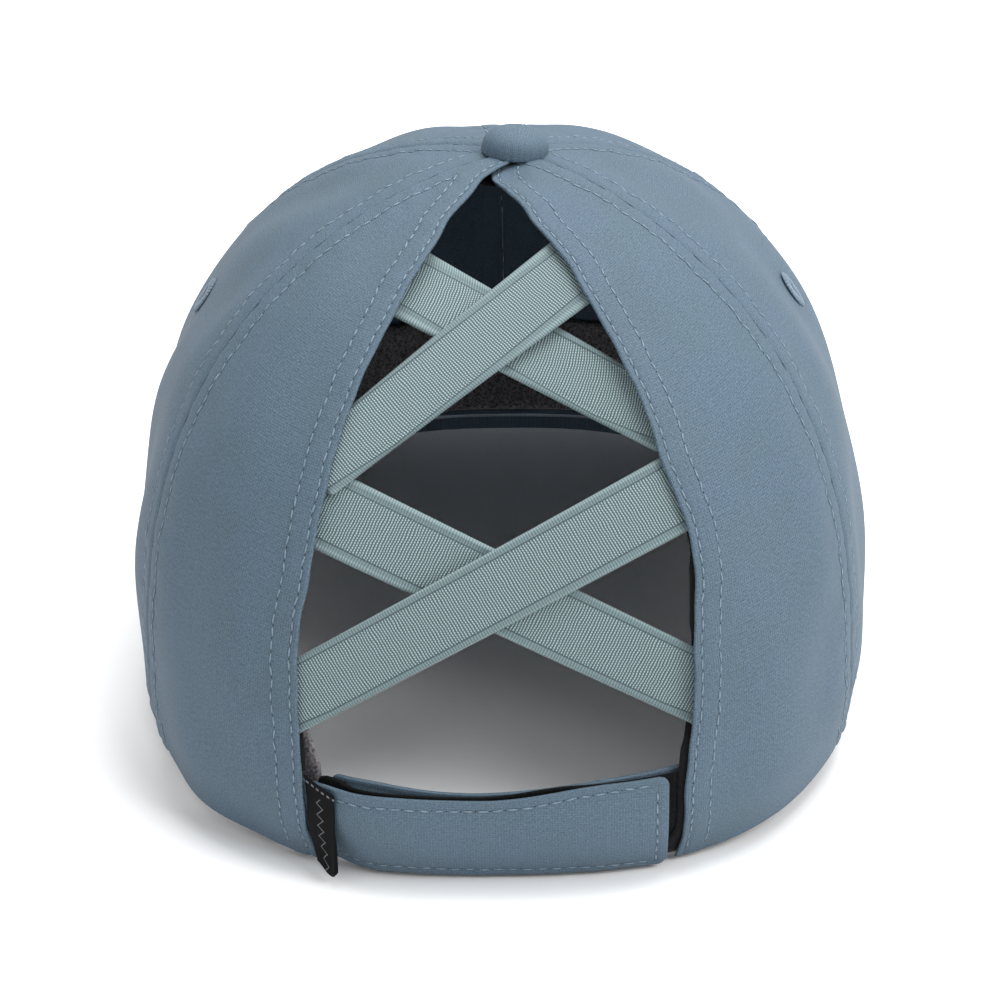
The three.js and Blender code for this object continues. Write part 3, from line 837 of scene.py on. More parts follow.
@dataclass
class Needlework:
    """Rows of lockstitch: a short thread float for each stitch, and between floats a flat dark bead of
    painted shade where the needle dives into the cloth.
    """

    pitch: float = 2.5
    length: float = 1.95
    width: float = 0.42
    height: float = 0.34
    sink: float = 0.08
    stray: float = 0.1
    drift: float = 0.06
    uneven: tuple[float, float] = (0.82, 1.06)
    step: float = 0.4
    # Size and lift of the dark bead of painted shade at each needle hole
    hole: tuple[float, float, float] = (0.5, 0.5, 0.14)
    hole_lift: float = -0.02
    seed: int = 11
    floats: list[tuple[Array, Array, Array]] = field(default_factory=list)
    hole_shades: list[tuple[Array, Array, Array]] = field(default_factory=list)

    def sew(self, path: tuple[Array, Array], shift: float = 0.0) -> None:
        """Sews along a line.

        Args:
            path: The line's points and normals.
            shift: Share of a stitch by which the row starts late.
        """
        points, normals = path
        if len(points) < 2:
            return
        run = run_of(points)
        count = int(run[-1] / self.pitch)
        for kind, offset in ((self.floats, 0.5), (self.hole_shades, 0.0)):
            at = (np.arange(count) + offset + shift % 1.0) * self.pitch
            at = at[at < run[-1]]
            ahead, behind = (read_row(at + step, run, points) for step in (self.step, -self.step))
            kind.extend(zip(read_row(at, run, points), ahead - behind, read_row(at, run, normals)))

    @staticmethod
    def _template(segments: int, rings: int, size: tuple[float, float, float]) -> tuple[Array, list]:
        """A small rounded bead, long in x."""
        bm = bmesh.new()
        bmesh.ops.create_uvsphere(bm, u_segments=segments, v_segments=rings, radius=0.5)
        bmesh.ops.rotate(bm, verts=bm.verts, cent=(0, 0, 0), matrix=Matrix.Rotation(math.pi / 2, 3, "Y"))
        bmesh.ops.scale(bm, verts=bm.verts, vec=size)
        bm.verts.index_update()
        points = np.array([vertex.co[:] for vertex in bm.verts])
        faces = [[vertex.index for vertex in face.verts] for face in bm.faces]
        bm.free()
        return points, faces

    def _joined(self, name: str, marks: list, template: tuple[Array, list], lift: float) -> bpy.types.Mesh:
        """Joins a copy of the template at each mark into one mesh."""
        points, faces = template
        random = np.random.default_rng(self.seed)
        spots, along, out = (np.array(part) for part in zip(*marks))
        along = unit(along)
        side = unit(np.cross(out, along))
        along = unit(along + side * random.normal(0.0, self.stray, (len(marks), 1)))
        side = unit(np.cross(out, along))
        up = np.cross(along, side)
        reach = random.uniform(*self.uneven, (len(marks), 1, 1))
        spots = spots + side * random.normal(0.0, self.drift, (len(marks), 1))
        turned = (points[None, :, 0:1] * along[:, None] * reach + points[None, :, 1:2] * side[:, None]
                  + points[None, :, 2:3] * up[:, None])
        placed = turned + (spots + up * lift)[:, None]
        steps = np.arange(len(marks)) * len(points)
        corners = [[corner + step for corner in face] for step in steps for face in faces]
        mesh = bpy.data.meshes.new(name)
        mesh.from_pydata(CROWN.in_frame(placed.reshape(-1, 3)).tolist(), [], corners)
        return mesh

    def build(self, name: str, wardrobe: Wardrobe, slot: str = "cloth") -> None:
        """Makes the thread of all the rows, and a bead of painted shade at each needle hole."""
        thread = self._template(6, 6, (self.length, self.width, self.height))
        lift = self.height / 2 - self.sink
        finished(self._joined(f"{name}_thread", self.floats, thread, lift), wardrobe.thread, slot)
        # Each needle hole gets a flat dark bead of painted shade
        hole = self._template(6, 4, self.hole)
        finished(self._joined(f"{name}_holes", self.hole_shades, hole, self.hole_lift), wardrobe.needle_hole_shade, slot)


class Gore(Enum):
    """The three kinds of crown panel, on each side."""

    FRONT = "front_panel"
    SIDE = "side_panel"
    BACK = "back_panel"


@dataclass
class Crown:
    """The six panels, with their seams, hems, eyelets and stitching."""

    wall: float = 0.9
    seam_stitch: float = 4.6
    seam_ridge: float = 0.14
    seam_dip: float = 0.2
    hem_stitches: tuple[float, float] = (1.6, 5.7)
    hem_ridge: float = 0.25
    hem_dip: float = 0.17
    hem_fold: float = 0.5
    groove: float = 0.42
    groove_width: float = 0.5
    pucker: float = 0.3
    drape: float = 0.6
    drape_edge: float = 16.0
    fade_zone: tuple[float, float] = (4.0, 22.0)
    seam_ripples: tuple[Ripple, ...] = (
        Ripple(1.0, 1.07, 1.0, 1.0), Ripple(0.7, 0.71, 2.1), Ripple(1.0, 2.9, of_turn=1.0))
    hem_ripples: tuple[Ripple, ...] = (Ripple(1.0, 1.3, 1.0), Ripple(0.8, 0.83, 3.0), Ripple(1.0, 3.7))
    row_start: float = 1.5
    row_end: float = 1.0
    seed_step: float = 1.7
    columns: int = 84
    rows: int = 150
    crowd: float = 0.72
    row_power: float = 1.08
    lap: float = 1.5
    lap_height: tuple[float, float] = (20.0, 12.0)
    lap_width: tuple[float, float] = (9.0, 3.0)
    left_tip: Uneven = Uneven(0.0, (Swell(1.2, 0.918, width=0.025), Swell(-0.9, 0.945, until=0.965)))
    right_tip: Uneven = Uneven(0.0, (Swell(4.2, 0.845, until=0.965),))
    panels: dict[str, Cloth] = field(default_factory=dict)

    def _bounds(self, gore: Gore, side: int) -> tuple[Line, Line]:
        """Angles of a panel's two edges, as functions of the rise."""
        back, front = Uneven(side * CROWN.back_seam), Uneven(side * CROWN.front_seam)
        if gore is Gore.FRONT:
            return front, Uneven(side * math.pi)
        if gore is Gore.SIDE:
            return back, front
        return (lambda rise: CROWN.angle_at(self.hem(side, rise), rise)), back

    def hem(self, side: int, rise: Array) -> Array:
        """Sideways place of a sewn hem: a little uneven, and lapped left over right under the button."""
        uneven = 0.09 * np.sin(61 * rise + side) + 0.07 * np.sin(113 * rise + 2 * side)
        tip = self.left_tip if side > 0 else self.right_tip
        return CROWN.hem(side, rise) + side * uneven * smooth(rise, 0.95, 0.85) + tip(rise)

    def _lay(self, gore: Gore, side: int) -> Cloth:
        """Lays one panel's smooth grid."""
        start, end = self._bounds(gore, side)

        def place(across: Array, along: Array) -> Array:
            rise = along ** self.row_power * CROWN.panel_top
            angle = start(rise) + (end(rise) - start(rise)) * across
            return CROWN.outer(angle, rise)

        half = np.array(0.5)
        middle = CROWN.normal((start(half) + end(half)) / 2, half)
        return Cloth(self.columns, self.rows, place, self.crowd).face(middle)

    @staticmethod
    def _seam_edges(gore: Gore, cloth: Cloth) -> tuple[list[Edge], list[Edge]]:
        """The panel's seamed edges and its hemmed edges."""
        upright = [Edge.LEFT, Edge.RIGHT]
        if gore is not Gore.BACK:
            return upright, []
        hem = cloth.inner_edge()
        return [edge for edge in upright if edge is not hem], [hem]

    def _relief(self, cloth: Cloth, seams: Iterable[Edge], hems: Iterable[Edge], seed: float) -> Array:
        """Depth of the seams, stitch rows, puckers and soft folds below the smooth face.

        Args:
            cloth: The laid panel.
            seams: Its seamed edges.
            hems: Its hemmed edges.
            seed: Moves the folds along, so that no two panels are alike.

        Returns:
            The depth at each point, in millimetres.
        """
        run = cloth.from_foot
        fade = smooth(cloth.from_head, *self.fade_zone)
        depth = np.zeros(run.shape)
        for k, edge in enumerate(seams):
            away = cloth.distance(edge)
            wave = rippled(run, seed, self.seam_ripples, k)
            broken = 0.75 + 0.35 * np.sin(run / 1.9 + 2 * seed) * np.sin(run / 0.83 + seed)
            depth += self.groove * broken * np.exp(-away / self.groove_width)
            ridge = smooth(away, self.seam_stitch + 0.8, self.seam_stitch - 0.6) * smooth(away, 0.2, 1.4)
            depth += self.seam_dip * bump(away, self.seam_stitch, 0.5) - self.seam_ridge * ridge
            depth += self.pucker * fade * wave * 0.4 * bump(away, self.seam_stitch, 3.6)
        for edge in hems:
            away = cloth.distance(edge)
            wave = rippled(run, seed, self.hem_ripples)
            depth -= self.hem_ridge * smooth(away, self.hem_stitches[1] + 1.2, self.hem_stitches[1] - 0.4)
            for row in self.hem_stitches:
                depth += self.hem_dip * bump(away, row, 0.45)
            depth += self.pucker * fade * wave * 0.2 * smooth(away, 11.0, 3.0) * smooth(away, 0.0, 1.2)
        wide = cloth.from_left
        folds = (np.sin(run / 9.1 + wide / 14.0 + seed) * np.sin(wide / 8.3 - run / 31.0 + 2 * seed)
                 + 0.6 * np.sin(run / 17.0 - wide / 6.4 + 3 * seed))
        inside = smooth(wide, 0.0, self.drape_edge) * smooth(cloth.from_right, 0.0, self.drape_edge)
        return depth + self.drape * folds * inside * fade

    def build(self, wardrobe: Wardrobe) -> None:
        """Builds the panels and sews them."""
        seam_work, hem_work = Needlework(), Needlework(pitch=2.6)
        for gore in Gore:
            for word, side in SIDES:
                node = f"{gore.value}_{word}"
                cloth = self._lay(gore, side)
                seams, hems = self._seam_edges(gore, cloth)
                cloth.push(self._relief(cloth, seams, hems, seed=len(self.panels) * self.seed_step))
                if gore is Gore.BACK and side < 0:
                    high = smooth(cloth.from_head, *self.lap_height)
                    cloth.push(self.lap * high * smooth(cloth.distance(hems[0]), *self.lap_width))
                cloth.roll(self.hem_fold, hems + [Edge.FOOT])
                cloth.build(f"{node}_cloth", self.wall, wardrobe.cloth, "cloth", [node], ["sweatband_knit"])
                self.panels[node] = cloth
                for edge in seams:
                    seam = cloth.line(edge, self.seam_stitch, self.row_start, self.row_end)
                    seam_work.sew(seam, len(self.panels) * 0.37)
                for edge in hems:
                    for row in self.hem_stitches:
                        hem_work.sew(cloth.line(edge, row, self.row_start, self.row_end, room=1.6), row)
        seam_work.build("seam", wardrobe)
        hem_work.build("hem", wardrobe)


@dataclass
class Eyelets:
    """The two embroidered eyelets: satin stitches laid round a small hole."""

    radius: float = 4.3
    hole: float = 1.6
    threads: int = 30
    angle: float = math.radians(91.5)
    rise: float = 0.531
    flatness: float = 0.34
    thread_height: float = 0.09
    thread_flare: float = 0.03
    sink: float = 0.05
    hole_edge: float = 0.25
    hole_inset: float = 0.8
    hole_depth: float = 0.5
    hole_lift: float = 0.04

    def _ring(self) -> bmesh.types.BMesh:
        """A ring about Z whose section is a low bead, ridged by its threads."""
        bm = bmesh.new()
        middle, half = (self.radius + self.hole) / 2, (self.radius - self.hole) / 2
        bmesh.ops.create_circle(bm, segments=12, radius=half, cap_ends=False)
        bmesh.ops.rotate(bm, verts=bm.verts, cent=(0, 0, 0), matrix=Matrix.Rotation(math.pi / 2, 3, "X"))
        bmesh.ops.translate(bm, verts=bm.verts, vec=(middle, 0, 0))
        bmesh.ops.spin(bm, geom=bm.verts[:] + bm.edges[:], cent=(0, 0, 0), axis=(0, 0, 1),
                       angle=2 * math.pi, steps=self.threads * 4, use_merge=True)
        bmesh.ops.recalc_face_normals(bm, faces=bm.faces)
        for vertex in bm.verts:
            x, y, z = vertex.co
            thread = math.cos(math.atan2(y, x) * self.threads)
            scale = 1 + (self.thread_flare * thread if math.hypot(x, y) > middle else 0)
            ridge = self.thread_height * thread if z > 0 else 0
            vertex.co = (x * scale, y * scale, z * self.flatness + ridge)
        return bm

    def _hole(self) -> bmesh.types.BMesh:
        """A shallow cup of painted shade, a little wider than the hole."""
        bm = bmesh.new()
        bmesh.ops.create_circle(bm, segments=20, radius=self.hole + self.hole_edge, cap_ends=True)
        bmesh.ops.inset_region(bm, faces=bm.faces, thickness=self.hole_inset, depth=-self.hole_depth)
        return bm

    def build(self, wardrobe: Wardrobe) -> None:
        """Sews an eyelet on each side panel."""
        for word, side in SIDES:
            angle, rise = np.array(side * self.angle), np.array(self.rise)
            normal = Vector(CROWN.normal(angle, rise))
            place = Vector(CROWN.in_frame(CROWN.outer(angle, rise)))
            turn = normal.to_track_quat("Z", "Y").to_matrix().to_4x4() @ Matrix.Scale(MM, 4)
            ring, hole = self._ring(), self._hole()
            for bm, lift in ((ring, -self.sink), (hole, self.hole_lift)):
                at = Matrix.Translation(place + normal * lift * MM) @ turn
                bmesh.ops.transform(bm, matrix=at, verts=bm.verts)
            name = f"eyelet_{word}"
            finished(drawn(ring, f"{name}_embroidery"), wardrobe.embroidery, "cloth", [name])
            # The dark cup in the hole is painted shade
            finished(drawn(hole, f"{name}_hole"), wardrobe.needle_hole_shade, "cloth")


@dataclass
class Button:
    """The covered button: a full, flat-topped dome whose cloth is gathered under its edge."""

    radius: float = 7.1
    height: float = 4.8
    drop: float = 1.3
    foot: float = -0.35
    fullness: float = 2.7
    pleats: int = 30
    gather: float = 0.0055
    sway: float = 0.008
    tilt: float = math.radians(4.0)

    def _shape(self, turn: float, out: float, up: float) -> tuple[float, float, float]:
        """One point of the dome, from the same point of a unit sphere.

        Args:
            turn: Its angle about the upright axis.
            out: Its distance from that axis.
            up: Its height.

        Returns:
            The point in millimetres, about the button's seat.
        """
        power = 2 / self.fullness
        pleat = math.cos(turn * self.pleats + 1.7 * math.sin(3 * turn)) + 0.8 * math.cos(19 * turn + 2.0)
        gather = self.gather * pleat * float(smooth(up, 0.75, 0.1))
        swell = 1 + gather + self.sway * math.sin(3 * turn + 1.0)
        reach = self.radius * (out ** power if up > 0 else out) * swell
        rise = (self.height - self.foot) * up ** power if up > 0 else self.drop * up
        return reach * math.cos(turn), reach * math.sin(turn), self.foot + rise

    def build(self, wardrobe: Wardrobe) -> None:
        """Builds the dome, its gathers and its UV map."""
        bm = bmesh.new()
        bmesh.ops.create_uvsphere(bm, u_segments=self.pleats * 6, v_segments=56, radius=1.0)
        flat = {}
        for vertex in bm.verts:
            out, up = math.hypot(vertex.co.x, vertex.co.y), vertex.co.z
            turn = math.atan2(vertex.co.y, vertex.co.x)
            spread = self.radius * (math.pi / 2 - math.asin(max(-1.0, min(1.0, up))))
            flat[vertex.index] = (spread * math.cos(turn), spread * math.sin(turn))
            vertex.co = self._shape(turn, out, up)
        lay_uv(bm, flat)
        apex = Vector(CROWN.in_frame(np.array([CROWN.apex_shift, 0.0, CROWN.height])))
        lean = Matrix.Rotation(-self.tilt, 4, "Y")
        bmesh.ops.transform(bm, matrix=Matrix.Translation(apex) @ lean @ Matrix.Scale(MM, 4), verts=bm.verts)
        finished(drawn(bm, "button_cover"), wardrobe.cloth, "cloth", ["top_button"])


@dataclass(frozen=True)
class BandPlan:
    """One elastic band.

    The heights where its middle meets the two hems are shares of the crown's height. Its lift is how far its
    middle stands out from the straight line between the hems, in millimetres.
    """

    node: str
    over: bool
    left: float
    right: float
    lift: float
    width: float = 14.6


@dataclass
class ElasticBands:
    """Two crossed pairs of flat elastic, drawn straight from hem to hem."""

    wall: float = 1.0
    tuck: float = 6.5
    depth: float = 1.45
    layer: float = 1.3
    selvedge: float = 1.7
    selvedge_groove: float = 0.2
    selvedge_raised: float = 0.05
    halvings: int = 30
    fold: float = 0.4
    grid: tuple[int, int] = (30, 120)
    plans: tuple[BandPlan, ...] = (
        BandPlan("upper_band_over", True, 0.6685, 0.894, 0.6, 14.1),
        BandPlan("upper_band_under", False, 0.8765, 0.7175, -0.2, 14.5),
        BandPlan("lower_band_over", True, 0.3165, 0.612, 2.8),
        BandPlan("lower_band_under", False, 0.594, 0.323, 1.5, 14.9),
    )

    def lay(self, plan: BandPlan) -> Cloth:
        """Lays one band.

        Args:
            plan: The band's heights and whether it lies over its partner.

        Returns:
            Its grid, with the run from the left hem to the right hem as rows.
        """
        depth = self.depth + (0.0 if plan.over else self.layer)
        ends = []
        for side, share in ((1, plan.left), (-1, plan.right)):
            z = share * CROWN.height
            ends.append(CROWN.back_at(CROWN.hem(side, CROWN.rise_at(z)), z, depth))
        start, end = ends
        length = float(np.linalg.norm(end - start))
        along = (end - start) / length
        out = CROWN.normal(np.array(0.0), CROWN.rise_at((start[2] + end[2]) / 2))
        out = unit(out - along * (out @ along))
        across = np.cross(out, along)

        def on_line(u: Array, run: Array) -> Array:
            return start + along * run[..., None] + across * ((u - 0.5) * plan.width)[..., None]

        def hem_run(u: Array, side: int) -> Array:
            low, high = (-length / 2, length / 2) if side > 0 else (length / 2, 1.5 * length)
            low, high = np.full_like(u, low), np.full_like(u, high)
            for _ in range(self.halvings):
                run = (low + high) / 2
                spot = on_line(u, run)
                past = side * (spot[..., 0] - CROWN.hem(side, CROWN.rise_at(spot[..., 2])))
                keep = past > 0 if side > 0 else past < 0
                low, high = np.where(keep, run, low), np.where(keep, high, run)
            return run

        def place(u: Array, v: Array) -> Array:
            one = u[0]
            first, last = hem_run(one, 1), hem_run(one, -1)
            run = -self.tuck + v * (length + 2 * self.tuck)
            share = (run - first) / (last - first)
            flat = on_line(u, run)
            surface = CROWN.back_at(flat[..., 0], flat[..., 2], depth)
            spots = [on_line(one, at) for at in (first, last)]
            ends = [CROWN.back_at(spot[..., 0], spot[..., 2], depth) for spot in spots]
            inside = np.clip(share, 0.0, 1.0)[..., None]
            chord = ends[0][None] * (1 - inside) + ends[1][None] * inside
            chord = chord + out * plan.lift * 4 * inside * (1 - inside)
            hidden = ((share <= 0) | (share >= 1))[..., None]
            return np.where(hidden, surface, chord)

        return Cloth(*self.grid, place).face(out)

    def build(self, wardrobe: Wardrobe) -> None:
        """Builds the four bands, with their selvedges raised and their edges rounded."""
        for plan in self.plans:
            cloth = self.lay(plan)
            away = np.minimum(cloth.from_left, cloth.from_right)
            raised = self.selvedge_raised * smooth(away, self.selvedge, self.selvedge - 0.5)
            cloth.push(self.selvedge_groove * bump(away, self.selvedge, 0.28) - raised)
            cloth.roll(self.fold, [Edge.LEFT, Edge.RIGHT])
            cloth.build(f"{plan.node}_webbing", self.wall, wardrobe.elastic, "elastic", [plan.node],
                        ["back_panel_left_cloth", "back_panel_right_cloth"], strip=True, turned=True)


@dataclass
class EdgeTapes:
    """The black tapes that bind the inside of the two hems."""

    wall: float = 0.55
    width: float = 9.6
    shows: float = -0.75
    shows_low: float = 0.35
    shows_right: float = 1.0
    shows_foot: float = 2.6
    low_zone: tuple[float, float] = (36.0, 31.0)
    foot_zone: tuple[float, float] = (9.0, 2.0)
    foot_left: float = 22.8
    foot_right: float = 0.6
    depth: float = 1.5
    depth_low: float = 0.95
    depth_zone: tuple[float, float] = (23.0, 29.0)
    behind_bands: float = 3.9
    behind_shift: float = 1.6
    right_share: float = 0.3
    band_zone: tuple[float, float] = (12.5, 8.5)
    top: float = 0.9
    tucked: float = 3.4
    tucked_zone: tuple[float, float] = (0.6, 0.76)
    bar_half: float = 5.0
    bar_middle: float = 0.5
    bar_foot: float = 0.937
    bar_rise: float = 0.035
    bar_depth: float = 3.0
    bar_grid: tuple[int, int] = (16, 10)
    fold: float = 0.25
    grid: tuple[int, int] = (6, 110)

    def _bar(self, wardrobe: Wardrobe) -> None:
        """Builds the short tape that crosses the top of the opening behind the lapped hems."""

        def place(across: Array, along: Array) -> Array:
            x = self.bar_half * (2 * across - 1) + self.bar_middle
            return CROWN.back_point(x, self.bar_foot + self.bar_rise * along, self.bar_depth)

        cloth = Cloth(*self.bar_grid, place).face(np.array([0.0, 0.3, 1.0]))
        cloth.build("opening_top_tape", self.wall, wardrobe.tape, "black_tape")

    def build(self, wardrobe: Wardrobe, bands: ElasticBands) -> None:
        """Builds each tape, which hugs its hem and steps back behind the bands."""
        self._bar(wardrobe)
        for word, side in SIDES:
            foot = float(CROWN.rise_at(self.foot_left if side > 0 else self.foot_right))
            extra = 0.0 if side > 0 else self.shows_right
            crossings = [plan.left if side > 0 else plan.right for plan in bands.plans]

            def place(across: Array, along: Array) -> Array:
                rise = foot + (self.top - foot) * along
                height = CROWN.height * CROWN.read(rise, "level")
                reach = np.min([np.abs(height - share * CROWN.height) for share in crossings], axis=0)
                behind = smooth(reach, *self.band_zone)
                low = smooth(height, *self.low_zone)
                shows = self.shows + extra + (self.shows_low - self.shows - self.right_share * extra) * low
                shows = shows + self.shows_foot * smooth(height, *self.foot_zone)
                tucked = self.tucked * smooth(rise, *self.tucked_zone) + self.behind_shift * behind - shows
                inner = np.maximum(side * CROWN.hem(side, rise) + tucked, GAP)
                x = side * (inner + across * self.width)
                depth = self.depth_low + (self.depth - self.depth_low) * smooth(height, *self.depth_zone)
                return CROWN.back_point(x, rise, depth + (self.behind_bands - depth) * behind)

            half = np.array(0.5)
            middle = CROWN.normal(CROWN.angle_at(np.array(side * 40.0), half), half)
            cloth = Cloth(*self.grid, place).face(middle)
            cloth.roll(self.fold, [Edge.LEFT, Edge.RIGHT])
            cloth.build(f"edge_tape_{word}_twill", self.wall, wardrobe.tape, "black_tape",
                        [f"edge_tape_{word}"], [f"back_panel_{word}_cloth"], strip=True)


@dataclass
class Closure:
    """The hook-and-loop closure: two straps, their tapes and the label beside them."""

    height: float = 21.5
    foot: float = 0.7
    wall: float = 1.2
    tuck: float = 7.0
    outer_end: float = -33.5
    inner_end: float = 34.6
    loop_end: float = 37.0
    overlap_start: float = 38.0
    overlap_full: float = 23.0
    hook_wall: float = 0.9
    loop_wall: float = 1.3
    inset: float = 2.5
    hook_inset: float = 3.8
    stitch_inset: float = 2.6
    stitch_dip: float = 0.2
    soft_middle: float = 0.18
    border_start: float = 8.0
    behind_hem: float = 1.5
    corner: float = 2.2
    step: float = 1.5
    crowd: float = 0.6
    fold: float = 0.6
    hook_fold: float = 0.3
    loop_fold: float = 0.4
    # Heights over the straps' foot and top. The outer strap dips at both ends, and the inner one sags.
    outer_foot: Uneven = Uneven(0.0, (Swell(0.65, -33.0, until=-24.0), Swell(-0.9, 20.0, until=31.0)))
    outer_top: Uneven = Uneven(-1.15, (Swell(2.5, 3.0, until=-22.0), Swell(-0.4, 22.0, until=31.0)))
    inner_foot: Uneven = Uneven(1.25, (Swell(-1.3, -24.0, until=-33.0),))
    inner_top: Uneven = Uneven(1.0, (Swell(-2.65, 5.0, width=21.0), Swell(-0.7, 24.0, until=33.0)))
    loop_top: Uneven = Uneven(-1.6, (Swell(2.1, 4.0, until=-15.0), Swell(1.3, 29.0, until=34.0)))
    ripples: tuple[Ripple, ...] = (Ripple(1.0, 1.9, 1.0), Ripple(0.7, 1.1, 2.0), Ripple(0.8, 4.7))
    pucker: float = 0.05
    drape: float = 0.1
    outer_grid: tuple[int, int] = (130, 44)
    inner_grid: tuple[int, int] = (110, 40)
    hook_grid: tuple[int, int] = (60, 24)
    loop_grid: tuple[int, int] = (80, 30)
    label_right: float = 32.3
    label_widens: float = 0.45
    label_wall: float = 0.6
    label_top: float = 22.2
    label_dip: float = 2.7
    label_foot: float = 0.8
    label_curl: float = 7.0
    label_curl_left: float = 0.6
    label_slant: float = 1.4
    label_corner: float = 1.8
    label_hollow: float = 0.35
    label_fold: float = 0.25
    label_grid: tuple[int, int] = (24, 60)

    @property
    def hook_depth(self) -> float:
        """Depth of the hook tape's outer face."""
        return self.behind_hem - GAP - self.hook_wall

    def loop_depth(self, x: Array) -> Array:
        """Depth of the loop tape's outer face, which steps in where the outer strap does."""
        return self.behind_hem + self.step * smooth(x, self.overlap_full, self.overlap_start)

    def inner_depth(self, x: Array) -> Array:
        """Depth of the inner strap's outer face."""
        return self.loop_depth(x) + self.loop_wall + GAP

    def outer_depth(self, x: Array) -> Array:
        """Depth of the outer strap's outer face, which steps out over the inner strap."""
        full = self.hook_depth - GAP - self.wall
        return full + (self.behind_hem - full) * smooth(x, self.overlap_full, self.overlap_start)

    def _strip(self, start: float, end: float, low: Line, high: Line, depth: Line,
               grid: tuple[int, int]) -> Cloth:
        """Lays a strip along the foot of the opening.

        Args:
            start: Sideways place of the end behind the hem.
            end: Sideways place of the free end, whose corners are rounded.
            low: How far its lower edge lies above the straps' foot, at a sideways place.
            high: How far its upper edge lies above the straps' top.
            depth: Depth of its outer face.
            grid: Numbers of columns and rows.

        Returns:
            The strip's grid.
        """
        inwards = math.copysign(self.corner, start - end)

        def place(across: Array, along: Array) -> Array:
            near = np.clip(1 - np.minimum(along, 1 - along) * self.height / self.corner, 0.0, 1.0)
            stop = end + inwards * (1 - np.sqrt(1 - near * near))
            x = start + (stop - start) * across
            bottom, top = self.foot + low(x), self.foot + self.height + high(x)
            return CROWN.back_point(x, CROWN.rise_at(bottom + (top - bottom) * along), depth(x))

        return Cloth(*grid, place, self.crowd).face(np.array([0.0, 1.0, 0.0]))

    def _strap(self, node: str, wardrobe: Wardrobe, rests_on: str, cloth: Cloth, seed: float) -> Edge:
        """Builds a strap, with its stitched border, its soft middle and its folded edges.

        Args:
            node: The node that it replaces.
            wardrobe: Every finish.
            rests_on: The piece that it rests on.
            cloth: The laid strip.
            seed: Moves the folds along, so that no two straps are alike.

        Returns:
            The edge at its free end.
        """
        free = cloth.inner_edge()
        away = np.minimum(cloth.from_foot, cloth.from_head)
        away = np.minimum(away, cloth.distance(free))
        run = cloth.from_left
        depth = self.stitch_dip * bump(away, self.stitch_inset, 0.5)
        depth += self.pucker * rippled(run, seed, self.ripples) * bump(away, self.stitch_inset, 2.2)
        depth -= self.soft_middle * smooth(away, self.stitch_inset, self.stitch_inset + 3.0)
        depth += self.drape * np.sin(run / 7.3 + seed) * np.sin(cloth.from_foot / 5.0 + seed)
        cloth.push(depth)
        cloth.roll(self.fold, [Edge.FOOT, Edge.HEAD, free])
        cloth.build(f"{node}_cloth", self.wall, wardrobe.cloth, "cloth", [node], [rests_on], strip=True)
        return free

    def build(self, wardrobe: Wardrobe) -> None:
        """Builds the straps, the tapes and the label."""
        hem = float(CROWN.hem(1, CROWN.rise_at(self.height)))
        outer = self._strip(hem + self.tuck, self.outer_end, self.outer_foot, self.outer_top,
                            self.outer_depth, self.outer_grid)
        free = self._strap("outer_strap", wardrobe, "inner_strap_cloth", outer, 0.4)
        work = Needlework(pitch=2.9, length=2.0, width=0.45, height=0.32)
        margins = (self.stitch_inset, self.border_start)
        start, end = margins if free is Edge.LEFT else margins[::-1]
        for edge in (Edge.FOOT, Edge.HEAD):
            work.sew(outer.line(edge, self.stitch_inset, start, end))
        work.sew(outer.line(free, self.stitch_inset, self.stitch_inset, self.stitch_inset))
        work.build("strap", wardrobe)
        inner = self._strip(-hem - self.tuck, self.inner_end, self.inner_foot, self.inner_top,
                            self.inner_depth, self.inner_grid)
        self._strap("inner_strap", wardrobe, "sweatband_knit", inner, 1.9)
        self._tapes(wardrobe, hem)
        self._label(wardrobe)

    def _tapes(self, wardrobe: Wardrobe, hem: float) -> None:
        """Builds the hook tape under the outer strap and the loop tape on the inner strap."""
        hook = self._strip(self.overlap_full - self.inset, self.outer_end + self.inset,
                           Uneven(self.inset), Uneven(-self.hook_inset), Uneven(self.hook_depth),
                           self.hook_grid)
        hook.roll(self.hook_fold, list(Edge))
        hook.build("hook_tape_face", self.hook_wall, wardrobe.hook, "hook", ["hook_tape"],
                   ["outer_strap_cloth"], strip=True)
        loop = self._strip(-hem - self.tuck / 2, self.loop_end, self.inner_foot, self.loop_top,
                           self.loop_depth, self.loop_grid)
        loop.roll(self.loop_fold, list(Edge))
        loop.build("loop_tape_face", self.loop_wall, wardrobe.loop, "loop", ["loop_tape"],
                   ["inner_strap_cloth"], strip=True)

    def _label(self, wardrobe: Wardrobe) -> None:
        """Builds the label, cut aslant at its foot and curling out from the strap."""
        width = float(CROWN.hem(1, CROWN.rise_at(self.label_top))) - self.label_right

        def foot(across: Array) -> Array:
            slant = self.label_slant * np.clip(1 - across / 0.5, 0.0, 1.0)
            share = self.label_corner / width
            near = np.clip((across - 1 + share) / share, 0.0, 1.0)
            return self.label_foot + slant + self.label_corner * (1 - np.sqrt(1 - near * near))

        def place(across: Array, along: Array) -> Array:
            top = self.label_top - self.label_dip * across
            rise = CROWN.rise_at(top + (foot(across) - top) * along)
            left = CROWN.hem(1, rise) - GAP
            x = left + (self.label_right + self.label_widens * along - left) * across
            depth = self.outer_depth(x) - GAP - self.label_wall
            point = CROWN.back_point(x, rise, depth)
            lean = self.label_curl_left + (1 - self.label_curl_left) * across
            point[..., 1] += self.label_curl * along ** 3 * lean
            return point

        cloth = Cloth(*self.label_grid, place, self.crowd).face(np.array([0.0, 1.0, 0.0]))
        hollow = self.label_hollow * bump(cloth.from_left, width / 2, 3.0)
        cloth.push(0.06 * np.sin(cloth.from_foot / 2.3) - hollow)
        cloth.roll(self.label_fold, list(Edge))
        cloth.build("side_label_satin", self.label_wall, wardrobe.label, "label", ["side_label"])


